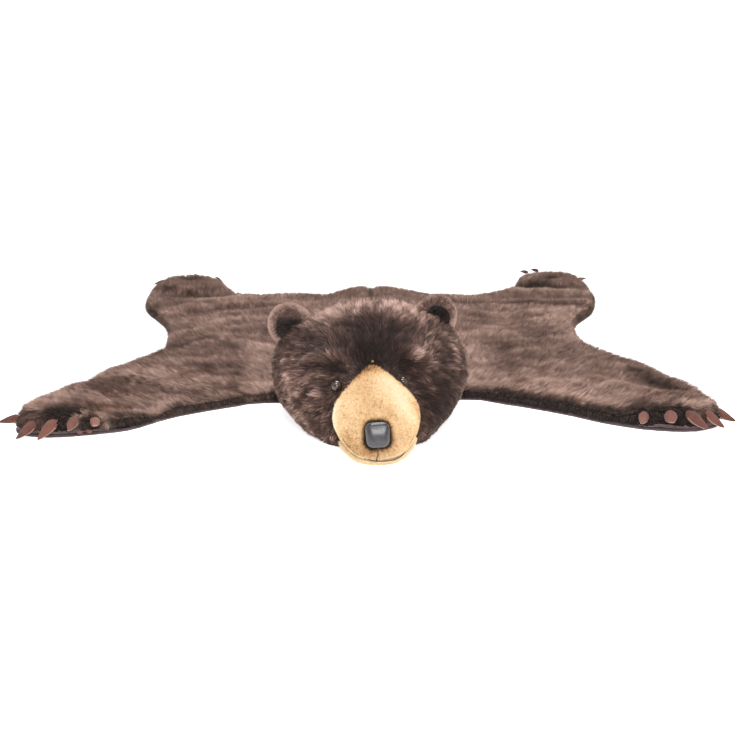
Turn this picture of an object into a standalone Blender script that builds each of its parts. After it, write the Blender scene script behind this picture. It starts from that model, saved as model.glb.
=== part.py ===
"""Bear-shaped play rug: a fur skin that lies flat, with four padded paws, claws and a stuffed head.

Metres, +Z up. The head looks along -Y and everything rests on z = 0. The origin is on the
floor, in the middle of the box around the whole rug. "left" is the side at -X.
"""
import math
from collections import namedtuple

import bmesh
import bpy
from mathutils import Matrix, Vector, geometry

# ---------------------------------------------------------------- driving dimensions
GAP = 0.0003                   # least room between pieces that touch
CUTTER_GROWTH = 0.00045        # how far a cutter stands out from the piece it is made from
LINING_THICKNESS = 0.0025      # felt backing on the floor
LINING_INSET = 0.002           # how far the felt stays inside the fur's outline
FUR_BOTTOM = LINING_THICKNESS + GAP
FUR_HEIGHT = 0.024             # skin and pile together, away from folds and paws
OUTLINE_STEP = 0.022           # spacing of the points around the rug
GRID_STEP = 0.026              # spacing of the points on top of the rug
BORDER_ROOM = 0.6              # least distance of those points from the rim, in steps
TOE_SETBACK = 0.022            # from a claw's root back to the middle of its toe
TOE_REACH = 0.015
TOE_RISE = 0.005

MIDDLE_X = -0.0048             # from the zero of the tables below to the middle of the box
MIDDLE_Y = 0.0068
HEAD_X = 0.007                 # middle of the stuffed head on the floor
HEAD_Y = -0.432
HEAD_YAW = math.radians(2.8)   # the nose turns a little towards +X
HEAD_ROLL = math.radians(2.7)  # the +X side of the head sits a little higher
HEAD_SECTIONS = 22
HEAD_SIDES = 36
MUZZLE_SECTIONS = 14
MUZZLE_SIDES = 32

EYE_RADIUS = 0.0092
CLAW_SIDES = 10
CLAW_RINGS = 6
CLAW_TIP_RADIUS = 0.0016
CLAW_ROOT = 0.012              # how far a claw starts inside the paw's fur
CLAW_CURL = 0.004
CLAW_FLATNESS = 0.90
CLAW_BELLY = 0.30              # where on its swelling profile a claw starts, 0.5 is the widest

# Outline of the skin, seen from above, against the clock from the middle of the neck.
OutlinePoint = namedtuple("OutlinePoint", "place x y")
OUTLINE = [OutlinePoint(*row) for row in (
    ("neck right", 0.160, -0.340),
    ("shoulder right", 0.234, -0.366),
    ("foreleg right, front", 0.333, -0.427),
    ("wrist right, front", 0.392, -0.477),
    ("paw right, inner toe", 0.453, -0.512),
    ("paw right, middle toe", 0.512, -0.527),
    ("paw right, outer toe", 0.558, -0.518),
    ("paw right, tip", 0.596, -0.480),
    ("paw right, heel", 0.594, -0.415),
    ("wrist right, back", 0.592, -0.328),
    ("foreleg right, back", 0.559, -0.239),
    ("elbow right", 0.534, -0.158),
    ("flank right", 0.469, -0.059),
    ("waist right", 0.436, 0.040),
    ("thigh right", 0.445, 0.196),
    ("hind leg right, outside", 0.509, 0.350),
    ("hind paw right, outside", 0.530, 0.500),
    ("hind paw right, outer toe", 0.518, 0.598),
    ("hind paw right, middle toe", 0.452, 0.670),
    ("hind paw right, inner toe", 0.376, 0.670),
    ("hind paw right, inside", 0.351, 0.578),
    ("hind leg right, inside", 0.299, 0.498),
    ("rump right", 0.243, 0.461),
    ("rump right, inner", 0.156, 0.462),
    ("rump hump right", 0.100, 0.497),
    ("rump hump right, top", 0.037, 0.506),
    ("rump seam", 0.002, 0.500),
    ("rump hump left, top", -0.030, 0.494),
    ("rump hump left", -0.083, 0.455),
    ("rump left, inner", -0.162, 0.468),
    ("rump left", -0.253, 0.452),
    ("hind leg left, inside", -0.297, 0.474),
    ("hind paw left, inside", -0.328, 0.543),
    ("hind paw left, inner toe", -0.361, 0.620),
    ("hind paw left, middle toe", -0.447, 0.616),
    ("hind paw left, outer toe", -0.508, 0.550),
    ("hind paw left, outside", -0.514, 0.458),
    ("hind leg left, outside", -0.500, 0.350),
    ("thigh left", -0.433, 0.183),
    ("waist left", -0.409, 0.009),
    ("flank left", -0.437, -0.097),
    ("elbow left", -0.481, -0.180),
    ("foreleg left, back", -0.531, -0.305),
    ("wrist left, back", -0.560, -0.392),
    ("paw left, heel", -0.572, -0.458),
    ("paw left, tip", -0.588, -0.508),
    ("paw left, outer toe", -0.568, -0.545),
    ("paw left, middle toe", -0.512, -0.557),
    ("paw left, inner toe", -0.445, -0.540),
    ("wrist left, front", -0.392, -0.516),
    ("foreleg left, front", -0.330, -0.447),
    ("shoulder left", -0.230, -0.382),
    ("neck left", -0.165, -0.360),
)]

# The rounded rim of the pile: how far in from the outline, and the share of the full height.
RimRow = namedtuple("RimRow", "inset share")
RIM = [RimRow(*row) for row in (
    (0.005, 0.00),
    (0.000, 0.30),
    (0.002, 0.62),
    (0.008, 0.88),
    (0.020, 1.00),
)]

# Soft heaps of filling under the fur: middle, half sizes along x and y, and height.
Mound = namedtuple("Mound", "place x y reach_x reach_y rise")
MOUNDS = [Mound(*row) for row in (
    ("paw left", -0.520, -0.500, 0.075, 0.060, 0.022),
    ("paw right", 0.528, -0.466, 0.075, 0.062, 0.022),
    ("hind paw left", -0.430, 0.530, 0.075, 0.080, 0.018),
    ("hind paw right", 0.450, 0.580, 0.075, 0.080, 0.018),
    ("rump", 0.000, 0.450, 0.090, 0.070, 0.012),
    ("shoulders", 0.000, -0.240, 0.170, 0.110, 0.010),
)]

# Main folds and troughs: middle, heading from +X, length, half width and height.
Fold = namedtuple("Fold", "place x y heading length reach rise")
FOLDS = [Fold(*row) for row in (
    ("thigh left, long", -0.325, 0.268, 27, 0.24, 0.018, -0.007),
    ("thigh left, ridge", -0.330, 0.305, 25, 0.22, 0.022, 0.008),
    ("flank left, long", -0.275, 0.165, 22, 0.20, 0.018, -0.006),
    ("hind wrist left", -0.395, 0.432, 0, 0.17, 0.018, -0.008),
    ("waist left, pit", -0.385, 0.040, -8, 0.07, 0.020, -0.010),
    ("waist left, ridge", -0.330, -0.005, -40, 0.26, 0.026, 0.007),
    ("foreleg left, ridge", -0.390, -0.260, -20, 0.22, 0.030, 0.007),
    ("foreleg left, trough", -0.380, -0.320, -16, 0.26, 0.026, -0.006),
    ("wrist left", -0.430, -0.430, -28, 0.22, 0.024, -0.008),
    ("back left", -0.190, 0.060, 8, 0.22, 0.024, -0.006),
    ("back left, ridge", -0.170, 0.330, 4, 0.26, 0.026, 0.006),
    ("rump left", -0.210, 0.372, 3, 0.26, 0.016, -0.006),
    ("hind wrist right", 0.400, 0.400, 4, 0.22, 0.018, -0.008),
    ("thigh right, ridge", 0.395, 0.352, 2, 0.20, 0.022, 0.007),
    ("flank right, long", 0.265, 0.280, -52, 0.20, 0.018, -0.006),
    ("back right", 0.225, 0.370, -6, 0.20, 0.016, -0.005),
    ("waist right, curl", 0.360, 0.110, 66, 0.16, 0.018, -0.006),
    ("waist right, ridge", 0.385, 0.050, 70, 0.18, 0.024, 0.007),
    ("side right, trough", 0.300, -0.035, 25, 0.16, 0.026, -0.007),
    ("foreleg right, ridge", 0.330, -0.330, -24, 0.26, 0.030, 0.006),
    ("wrist right, trough", 0.492, -0.305, -50, 0.15, 0.024, -0.010),
    ("wrist right, ridge", 0.455, -0.350, -50, 0.20, 0.026, 0.008),
    ("shoulder right", 0.250, -0.190, 20, 0.22, 0.030, -0.006),
    ("spine", 0.004, 0.300, 90, 0.36, 0.007, -0.004),
)]

# Dark pits between the toes, on top of the hind paws.
Pit = namedtuple("Pit", "place x y reach depth")
PITS = [Pit(*row) for row in (
    ("hind paw left, inner", -0.418, 0.540, 0.016, 0.012),
    ("hind paw left, outer", -0.462, 0.500, 0.014, 0.009),
    ("hind paw right, inner", 0.388, 0.520, 0.017, 0.012),
    ("hind paw right, outer", 0.446, 0.572, 0.015, 0.012),
)]

# Claws: where each leaves the paw's edge, the way it points (from +X), its droop, its length
# and its radius.
Claw = namedtuple("Claw", "paw toe x y z heading droop length radius")
CLAWS = [Claw(*row) for row in (
    ("front_left", 1, -0.577, -0.527, 0.0245, 196, 0, 0.031, 0.0092),
    ("front_left", 2, -0.542, -0.541, 0.0225, 226, 20, 0.046, 0.0108),
    ("front_left", 3, -0.512, -0.546, 0.0245, 238, 21, 0.045, 0.0110),
    ("front_left", 4, -0.4825, -0.541, 0.0250, 268, 4, 0.034, 0.0102),
    ("front_left", 5, -0.449, -0.534, 0.0215, 281, -12, 0.030, 0.0092),
    ("front_right", 1, 0.4595, -0.505, 0.0215, 252, 0, 0.030, 0.0100),
    ("front_right", 2, 0.500, -0.518, 0.0260, 265, -4, 0.031, 0.0116),
    ("front_right", 3, 0.534, -0.520, 0.0260, 318, 20, 0.036, 0.0112),
    ("front_right", 4, 0.563, -0.506, 0.0235, 334, 23, 0.035, 0.0108),
    ("front_right", 5, 0.578, -0.482, 0.0240, 342, 15, 0.042, 0.0108),
    ("hind_left", 1, -0.498, 0.574, 0.026, 150, 12, 0.024, 0.0052),
    ("hind_left", 2, -0.467, 0.604, 0.026, 128, 10, 0.022, 0.0052),
    ("hind_left", 3, -0.421, 0.622, 0.031, 100, -10, 0.022, 0.0052),
    ("hind_left", 4, -0.392, 0.628, 0.026, 84, 4, 0.022, 0.0052),
    ("hind_left", 5, -0.366, 0.610, 0.026, 58, 20, 0.022, 0.0052),
    ("hind_right", 1, 0.388, 0.667, 0.032, 112, -2, 0.024, 0.0052),
    ("hind_right", 2, 0.415, 0.678, 0.034, 108, -2, 0.024, 0.0052),
    ("hind_right", 3, 0.452, 0.674, 0.026, 88, 2, 0.022, 0.0052),
    ("hind_right", 4, 0.488, 0.648, 0.026, 66, -14, 0.022, 0.0052),
    ("hind_right", 5, 0.513, 0.607, 0.026, 38, -6, 0.024, 0.0052),
)]

# Cross sections of the head, nose end to nape, in the head's own frame (y along its length).
HeadSection = namedtuple("HeadSection", "place y half_width top widest")
HEAD = [HeadSection(*row) for row in (
    ("chin", -0.196, 0.010, 0.040, 0.022),
    ("chin, full", -0.186, 0.054, 0.064, 0.026),
    ("lips", -0.160, 0.090, 0.094, 0.036),
    ("cheeks", -0.120, 0.119, 0.130, 0.052),
    ("brow", -0.080, 0.141, 0.158, 0.062),
    ("forehead", -0.035, 0.161, 0.181, 0.070),
    ("crown", 0.015, 0.168, 0.195, 0.074),
    ("ears", 0.055, 0.166, 0.194, 0.074),
    ("nape", 0.100, 0.150, 0.174, 0.070),
    ("nape, low", 0.132, 0.116, 0.138, 0.060),
    ("back", 0.152, 0.066, 0.094, 0.050),
    ("back, end", 0.158, 0.010, 0.060, 0.044),
)]
HEAD_SQUARENESS = 2.45         # 2 is an ellipse, more is boxier
HEAD_SQUARENESS_BELOW = 2.15   # under its widest level
HEAD_TAPER = 0.10              # how much narrower the head is at its top
HEAD_SINK = 0.030              # how much of the round underside the floor flattens
HEAD_CENTRE_Z = 0.070          # the bumps push away from this height
LOFT_TIP = 0.0008              # how far a loft's two end points stand out from its end sections
END_CROWDING = 0.45            # 0 spaces a loft's sections evenly, 1 crowds them at its ends

# Swellings and hollows of the stuffed head, in its own frame.
Bump = namedtuple("Bump", "place x y z reach rise")
HEAD_BUMPS = [Bump(*row) for row in (
    ("brow left", -0.070, -0.112, 0.138, 0.034, 0.010),
    ("brow right", 0.070, -0.112, 0.138, 0.034, 0.010),
    ("brow fold left", -0.060, -0.128, 0.112, 0.018, -0.006),
    ("brow fold right", 0.060, -0.128, 0.112, 0.018, -0.006),
    ("stop", 0.000, -0.120, 0.142, 0.030, -0.008),
    ("crown", 0.010, 0.000, 0.210, 0.070, 0.004),
    ("cheek left", -0.115, -0.100, 0.030, 0.060, 0.003),
    ("cheek right", 0.120, -0.090, 0.030, 0.060, 0.004),
)]

# Cross sections of the muzzle, nose end to its root inside the head, in the head's frame.
MuzzleSection = namedtuple("MuzzleSection", "place y half_width top bottom")
MUZZLE = [MuzzleSection(*row) for row in (
    ("tip", -0.272, 0.006, 0.050, 0.034),
    ("tip, round", -0.269, 0.030, 0.068, 0.016),
    ("nose", -0.260, 0.044, 0.079, 0.008),
    ("lips", -0.240, 0.056, 0.091, 0.006),
    ("bridge", -0.205, 0.067, 0.103, 0.010),
    ("bridge, high", -0.165, 0.071, 0.114, 0.016),
    ("stop", -0.130, 0.070, 0.123, 0.022),
    ("root", -0.095, 0.052, 0.123, 0.030),
    ("root, end", -0.075, 0.010, 0.090, 0.060),
)]
JAW = [MuzzleSection(*row) for row in (
    ("tip", -0.267, 0.006, 0.010, 0.004),
    ("tip, round", -0.263, 0.026, 0.018, 0.001),
    ("chin", -0.250, 0.043, 0.028, 0.000),
    ("jaw", -0.215, 0.058, 0.036, 0.000),
    ("jaw, back", -0.170, 0.064, 0.040, 0.000),
    ("root", -0.120, 0.040, 0.040, 0.000),
    ("root, end", -0.110, 0.008, 0.030, 0.010),
)]
MUZZLE_SQUARENESS = 2.1
MUZZLE_WIDEST = 0.42           # where the muzzle is widest, as a share of its height
MUZZLE_TAPER = 0.38            # how much narrower the muzzle is at its bridge

# Eyes and ears, in the head's own frame.
EYE_X = 0.0533
EYE_SHIFT = -0.0066            # both eyes sit a little towards -X
EYE_Y = -0.1462
EYE_Z = 0.0980
EAR_X = 0.123
EAR_SHIFT = -0.007             # both ears sit a little towards -X
EAR_Y = 0.022
EAR_Z = 0.162
EAR_RADIUS = 0.040
EAR_DEPTH = 0.013              # half thickness of the ear
EAR_TILT = math.radians(20)    # the ear leans out from the head
EAR_TURN = math.radians(14)    # and its cup turns a little outwards
EAR_CUP_RADIUS = 0.030
EAR_CUP_PLACE = 0.93           # how far the cup's ball stands in front, in radii
EAR_CUP_Z = -0.002
EAR_PAD_DEPTH = 0.003

NOSE_X = -0.003                # the nose sits a little towards -X
NOSE_WIDTH = 0.036
NOSE_HEIGHT = 0.040
NOSE_DEPTH = 0.030
NOSE_ROUNDING = 0.010
NOSE_ROUNDING_STEPS = 4
NOSE_Y = -0.266
NOSE_Z = 0.052
NOSE_PITCH = math.radians(12)  # the nose's front leans back

# ---------------------------------------------------------------- materials
Finish = namedtuple("Finish", "colour roughness")
FINISHES = {
    "body fur": Finish((0.150, 0.095, 0.075), 0.85),
    "head fur": Finish((0.060, 0.036, 0.029), 0.85),
    "ear velvet": Finish((0.020, 0.013, 0.011), 0.90),
    "muzzle plush": Finish((0.760, 0.510, 0.250), 0.85),
    "jaw plush": Finish((0.800, 0.640, 0.410), 0.85),
    "nose vinyl": Finish((0.045, 0.045, 0.050), 0.30),
    "eye glass": Finish((0.012, 0.010, 0.009), 0.06),
    "claw felt": Finish((0.330, 0.150, 0.110), 0.60),
    "felt backing": Finish((0.110, 0.080, 0.085), 0.95),
}


def clear_scene():
    """Remove every object, so that the script starts from nothing."""
    for thing in list(bpy.data.objects):
        bpy.data.objects.remove(thing, do_unlink=True)


def new_collection(name):
    """Make a collection under the scene's own."""
    collection = bpy.data.collections.new(name)
    bpy.context.scene.collection.children.link(collection)
    return collection


def new_material(name):
    """Make a plain material with the finish's colour and roughness."""
    finish = FINISHES[name]
    material = bpy.data.materials.new(name)
    material.use_nodes = True
    shader = material.node_tree.nodes["Principled BSDF"]
    shader.inputs["Base Color"].default_value = (*finish.colour, 1.0)
    shader.inputs["Roughness"].default_value = finish.roughness
    shader.inputs["Metallic"].default_value = 0.0
    return material


def add_mesh(name, mesh_data, collection, material=None):
    """Turn a bmesh into a smooth-shaded object of triangles, so that cutters share its facets."""
    bmesh.ops.triangulate(mesh_data, faces=mesh_data.faces)
    bmesh.ops.recalc_face_normals(mesh_data, faces=mesh_data.faces)
    mesh = bpy.data.meshes.new(name)
    mesh_data.to_mesh(mesh)
    mesh_data.free()
    mesh.shade_smooth()
    piece = bpy.data.objects.new(name, mesh)
    collection.objects.link(piece)
    if material is not None:
        mesh.materials.append(material)
    return piece


def as_cutter(piece):
    """Mark an object as one that only cuts others."""
    piece.hide_render = True
    piece.display_type = "WIRE"
    return piece


def cut(piece, cutter):
    """Take the cutter's shape away from the piece."""
    modifier = piece.modifiers.new("cut " + cutter.name, "BOOLEAN")
    modifier.operation = "DIFFERENCE"
    modifier.solver = "EXACT"
    modifier.object = cutter
    return modifier


def clearance(piece, collection):
    """Make a cutter that is the evaluated piece, grown by the gap."""
    bpy.context.view_layer.update()
    evaluated = piece.evaluated_get(bpy.context.evaluated_depsgraph_get())
    mesh = bpy.data.meshes.new_from_object(evaluated)
    mesh.transform(piece.matrix_world)
    grown = bmesh.new()
    grown.from_mesh(mesh)
    bpy.data.meshes.remove(mesh)
    grown.normal_update()
    for vertex in grown.verts:
        vertex.co += vertex.normal * CUTTER_GROWTH
    return as_cutter(add_mesh(piece.name + "_clearance", grown, collection))


def smooth_curve(values, position, closed=False):
    """Read a smooth curve through rows of numbers (Catmull-Rom), position in rows."""
    count = len(values)
    row = int(math.floor(position))
    t = position - row
    picks = []
    for offset in (-1, 0, 1, 2):
        index = row + offset
        picks.append(values[index % count] if closed else values[min(max(index, 0), count - 1)])
    before, start, end, after = picks
    result = []
    for a, b, c, d in zip(before, start, end, after):
        bend = 2 * a - 5 * b + 4 * c - d
        result.append(b + 0.5 * t * (c - a + t * (bend + t * (3 * (b - c) + d - a))))
    return result


# ---------------------------------------------------------------- the flat skin
def outline_points(step):
    """Points at even spacing around the rug, as 2D vectors."""
    rows = [(point.x, point.y) for point in OUTLINE]
    fine = []
    for index in range(len(rows) * 16):
        fine.append(Vector(smooth_curve(rows, index / 16, closed=True)))
    lengths = [0.0]
    for index, point in enumerate(fine):
        lengths.append(lengths[-1] + (fine[(index + 1) % len(fine)] - point).length)
    count = round(lengths[-1] / step)
    points = []
    segment = 0
    for index in range(count):
        target = lengths[-1] * index / count
        while lengths[segment + 1] < target:
            segment += 1
        share = (target - lengths[segment]) / (lengths[segment + 1] - lengths[segment])
        points.append(fine[segment].lerp(fine[(segment + 1) % len(fine)], share))
    return points


def inset_ring(points, inset):
    """Move a ring of points, which runs against the clock, inwards along its normals."""
    ring = []
    for index, point in enumerate(points):
        along = points[(index + 1) % len(points)] - points[index - 1]
        inward = Vector((-along.y, along.x)).normalized()
        ring.append(point + inward * inset)
    return ring


def bell(distance, reach):
    """A smooth heap: 1 in the middle, about 0.4 at the reach and almost 0 at twice that."""
    return math.exp(-(distance / reach) ** 2)


def fur_top(x, y):
    """Height of the fur's top above the floor, away from the rim."""
    height = FUR_BOTTOM + FUR_HEIGHT
    for mound in MOUNDS:
        away = math.hypot((x - mound.x) / mound.reach_x, (y - mound.y) / mound.reach_y)
        height += mound.rise * math.exp(-away ** 4)
    for fold in FOLDS:
        heading = math.radians(fold.heading)
        along = (x - fold.x) * math.cos(heading) + (y - fold.y) * math.sin(heading)
        across = (y - fold.y) * math.cos(heading) - (x - fold.x) * math.sin(heading)
        fade = math.exp(-(2 * along / fold.length) ** 4)
        height += fold.rise * fade * bell(across, fold.reach)
    for pit in PITS:
        height -= pit.depth * bell(math.hypot(x - pit.x, y - pit.y), pit.reach)
    for claw in CLAWS:
        heading = math.radians(claw.heading)
        toe_x = claw.x - TOE_SETBACK * math.cos(heading)
        toe_y = claw.y - TOE_SETBACK * math.sin(heading)
        height += TOE_RISE * bell(math.hypot(x - toe_x, y - toe_y), TOE_REACH)
    return height


def interior_points(border, step):
    """Staggered points inside a ring, none of them close to it."""
    low_x = min(point.x for point in border)
    high_x = max(point.x for point in border)
    low_y = min(point.y for point in border)
    high_y = max(point.y for point in border)
    row_step = step * math.sqrt(3) / 2
    points = []
    for row in range(int((high_y - low_y) / row_step) + 1):
        y = low_y + row * row_step
        for column in range(int((high_x - low_x) / step) + 2):
            x = low_x + (column + 0.5 * (row % 2)) * step
            point = Vector((x, y))
            if not inside(point, border):
                continue
            if min((point - other).length for other in border) > BORDER_ROOM * step:
                points.append(point)
    return points


def inside(point, border):
    """True if the point is inside the ring."""
    crossings = 0
    for index, end in enumerate(border):
        start = border[index - 1]
        if (start.y > point.y) != (end.y > point.y):
            at = start.x + (point.y - start.y) * (end.x - start.x) / (end.y - start.y)
            crossings += at > point.x
    return crossings % 2 == 1


def make_rug_body(collection, head_cutter):
    """The one-piece skin with its pile: a flat underside, a rounded rim and a soft top."""
    outline = outline_points(OUTLINE_STEP)
    body = bmesh.new()
    rings = []
    for row in RIM:
        ring = []
        for point in inset_ring(outline, row.inset):
            height = FUR_BOTTOM + row.share * (fur_top(point.x, point.y) - FUR_BOTTOM)
            ring.append(body.verts.new((point.x, point.y, height)))
        rings.append(ring)
    for lower, upper in zip(rings, rings[1:]):
        for index in range(len(lower)):
            body.faces.new((lower[index - 1], lower[index], upper[index], upper[index - 1]))
    body.faces.new(list(reversed(rings[0])))
    border = [vertex.co.to_2d() for vertex in rings[-1]]
    inner = interior_points(border, GRID_STEP)
    top = list(rings[-1])
    for point in inner:
        top.append(body.verts.new((point.x, point.y, fur_top(point.x, point.y))))
    flat = geometry.delaunay_2d_cdt(border + inner, [], [list(range(len(border)))], 1, 1e-6)
    for triangle in flat[2]:
        corners = [top[flat[3][corner][0]] for corner in triangle]
        body.faces.new(corners)
    piece = add_mesh("rug_body", body, collection, new_material("body fur"))
    cut(piece, head_cutter)
    return piece


def make_lining(collection, head_cutter):
    """Felt backing under the skin, a flat sheet on the floor."""
    curve = bpy.data.curves.new("lining", "CURVE")
    curve.dimensions = "2D"
    curve.fill_mode = "BOTH"
    curve.extrude = LINING_THICKNESS / 2
    ring = inset_ring(outline_points(OUTLINE_STEP), LINING_INSET)
    spline = curve.splines.new("POLY")
    spline.points.add(len(ring) - 1)
    for slot, point in zip(spline.points, ring):
        slot.co = (point.x, point.y, 0.0, 1.0)
    spline.use_cyclic_u = True
    sheet = bpy.data.objects.new("lining_curve", curve)
    sheet.location.z = LINING_THICKNESS / 2
    collection.objects.link(sheet)
    bpy.context.view_layer.update()
    evaluated = sheet.evaluated_get(bpy.context.evaluated_depsgraph_get())
    mesh = bpy.data.meshes.new_from_object(evaluated)
    mesh.transform(sheet.matrix_world)
    bpy.data.objects.remove(sheet, do_unlink=True)
    felt = bmesh.new()
    felt.from_mesh(mesh)
    bpy.data.meshes.remove(mesh)
    bmesh.ops.remove_doubles(felt, verts=felt.verts, dist=1e-6)
    piece = add_mesh("lining", felt, collection, new_material("felt backing"))
    piece.data.shade_flat()
    cut(piece, head_cutter)
    return piece


# ---------------------------------------------------------------- the head
def head_frame():
    """From the head's own frame to the world: rolled, turned, and set down on the floor."""
    turned = Matrix.Translation((HEAD_X, HEAD_Y, 0.0)) @ Matrix.Rotation(HEAD_YAW, 4, "Z")
    return turned @ Matrix.Rotation(-HEAD_ROLL, 4, "Y")


def to_floor(point):
    """Roll a point of the head, place it, and flatten it on the floor."""
    placed = head_frame() @ point
    placed.z = max(placed.z, 0.0)
    return placed


def power(value, exponent):
    """Signed power, for rounded-square sections."""
    return math.copysign(abs(value) ** exponent, value)


def loft(sections, sides, section_point, ends):
    """Join closed cross sections into one surface with a point at each end."""
    form = bmesh.new()
    rings = []
    for section in sections:
        ring = []
        for side in range(sides):
            angle = 2 * math.pi * side / sides
            ring.append(form.verts.new(section_point(section, angle)))
        rings.append(ring)
    for first, second in zip(rings, rings[1:]):
        for side in range(sides):
            form.faces.new((first[side - 1], first[side], second[side], second[side - 1]))
    for ring, tip in ((rings[0], ends[0]), (rings[-1], ends[1])):
        middle = form.verts.new(tip)
        for side in range(sides):
            form.faces.new((ring[side - 1], ring[side], middle))
    return form


def head_point(section, angle):
    """A point of the head, before its bumps: round above, flattened below."""
    y, half_width, top, widest = section
    squareness = HEAD_SQUARENESS if math.sin(angle) > 0 else HEAD_SQUARENESS_BELOW
    exponent = 2 / squareness
    rise = power(math.sin(angle), exponent)
    x = half_width * power(math.cos(angle), exponent)
    if rise > 0:
        x *= 1 - HEAD_TAPER * rise ** 2
    z = widest + rise * (top - widest if rise > 0 else widest + HEAD_SINK)
    return Vector((x, y, z))


def with_bumps(point):
    """Push a point of the head out or in by the swellings near it."""
    outward = (point - Vector((0.0, 0.0, HEAD_CENTRE_Z))).normalized()
    moved = point.copy()
    for bump in HEAD_BUMPS:
        away = (point - Vector((bump.x, bump.y, bump.z))).length
        moved += outward * bump.rise * bell(away, bump.reach)
    return moved


def read_sections(rows, count):
    """Even steps through a table of sections, closer together near its two ends."""
    values = [row[1:] for row in rows]
    sections = []
    for index in range(count):
        share = 0.5 - 0.5 * math.cos(math.pi * index / (count - 1))
        even = index / (count - 1)
        blend = even + END_CROWDING * (share - even)
        sections.append(smooth_curve(values, blend * (len(values) - 1)))
    return sections


def make_head(collection):
    """The stuffed head without its muzzle, ears, eyes and nose."""
    sections = read_sections(HEAD, HEAD_SECTIONS)

    def surface(section, angle):
        return to_floor(with_bumps(head_point(section, angle)))

    front = to_floor(Vector((0.0, HEAD[0].y - LOFT_TIP, HEAD[0].widest)))
    back = to_floor(Vector((0.0, HEAD[-1].y + LOFT_TIP, HEAD[-1].widest)))
    form = loft(sections, HEAD_SIDES, surface, (front, back))
    return add_mesh("head", form, collection, new_material("head fur"))


def muzzle_point(section, angle):
    """A point of the muzzle or the jaw, narrower above than below."""
    y, half_width, top, bottom = section
    middle = bottom + MUZZLE_WIDEST * (top - bottom)
    exponent = 2 / MUZZLE_SQUARENESS
    rise = power(math.sin(angle), exponent)
    x = half_width * power(math.cos(angle), exponent)
    if rise > 0:
        x *= 1 - MUZZLE_TAPER * rise ** 2
    z = middle + rise * (top - middle if rise > 0 else middle - bottom)
    return to_floor(Vector((x, y, z)))


def make_muzzle_form(name, rows, collection, finish):
    """A form lofted through the table's sections, nose end first."""
    sections = read_sections(rows, MUZZLE_SECTIONS)
    ends = []
    for row, step in ((rows[0], -LOFT_TIP), (rows[-1], LOFT_TIP)):
        middle = row.bottom + MUZZLE_WIDEST * (row.top - row.bottom)
        ends.append(to_floor(Vector((0.0, row.y + step, middle))))
    form = loft(sections, MUZZLE_SIDES, muzzle_point, ends)
    return add_mesh(name, form, collection, new_material(finish))


def make_eye(name, side, collection, material):
    """A glossy round eye, half sunk in the head."""
    form = bmesh.new()
    bmesh.ops.create_uvsphere(form, u_segments=20, v_segments=12, radius=EYE_RADIUS)
    place = head_frame() @ Matrix.Translation((side * EYE_X + EYE_SHIFT, EYE_Y, EYE_Z))
    bmesh.ops.transform(form, matrix=place, verts=form.verts)
    return add_mesh(name, form, collection, material)


def ear_frame(side):
    """From an ear's own frame, cup towards -Y, to the world."""
    place = Matrix.Translation((side * EAR_X + EAR_SHIFT, EAR_Y, EAR_Z))
    lean = Matrix.Rotation(side * EAR_TILT, 4, "Y")
    turn = Matrix.Rotation(side * EAR_TURN, 4, "Z")
    return head_frame() @ place @ lean @ turn


def ear_ball(name, side, radius, collection):
    """A ball in front of an ear, the shape of its cup."""
    form = bmesh.new()
    bmesh.ops.create_uvsphere(form, u_segments=20, v_segments=12, radius=radius)
    place = Matrix.Translation((0.0, -EAR_CUP_RADIUS * EAR_CUP_PLACE, EAR_CUP_Z))
    bmesh.ops.transform(form, matrix=ear_frame(side) @ place, verts=form.verts)
    return add_mesh(name, form, collection)


def ear_disc(name, side, collection):
    """The full, uncupped form of an ear."""
    form = bmesh.new()
    bmesh.ops.create_uvsphere(form, u_segments=20, v_segments=14, radius=1.0)
    shape = Matrix.Diagonal((EAR_RADIUS, EAR_DEPTH, EAR_RADIUS, 1.0))
    bmesh.ops.transform(form, matrix=ear_frame(side) @ shape, verts=form.verts)
    return add_mesh(name, form, collection)


def make_ear(word, side, parts, cutters, head_cutter, materials):
    """A round ear, hollowed by a ball in front, and the velvet that lines the cup."""
    ear = ear_disc("ear_" + word, side, parts)
    ear.data.materials.append(materials[0])
    cup = as_cutter(ear_ball("cup_" + word, side, EAR_CUP_RADIUS, cutters))
    cut(ear, cup)
    cut(ear, head_cutter)
    pad = ear_ball("ear_lining_" + word, side, EAR_CUP_RADIUS - 2 * GAP, parts)
    pad.data.materials.append(materials[1])
    hollow_radius = EAR_CUP_RADIUS - EAR_PAD_DEPTH
    hollow = as_cutter(ear_ball("hollow_" + word, side, hollow_radius, cutters))
    disc = as_cutter(ear_disc("disc_" + word, side, cutters))
    cut(pad, hollow)
    cut(pad, disc).operation = "INTERSECT"
    cut(pad, head_cutter)


def make_nose(collection):
    """The moulded nose: a rounded block that leans back on the muzzle's tip."""
    form = bmesh.new()
    bmesh.ops.create_cube(form, size=1.0)
    size = Matrix.Diagonal((NOSE_WIDTH, NOSE_DEPTH, NOSE_HEIGHT, 1.0))
    place = head_frame() @ Matrix.Translation((NOSE_X, NOSE_Y, NOSE_Z))
    lean = Matrix.Rotation(-NOSE_PITCH, 4, "X")
    bmesh.ops.transform(form, matrix=place @ lean @ size, verts=form.verts)
    nose = add_mesh("nose", form, collection, new_material("nose vinyl"))
    rounding = nose.modifiers.new("rounding", "BEVEL")
    rounding.width = NOSE_ROUNDING
    rounding.segments = NOSE_ROUNDING_STEPS
    return nose


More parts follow.
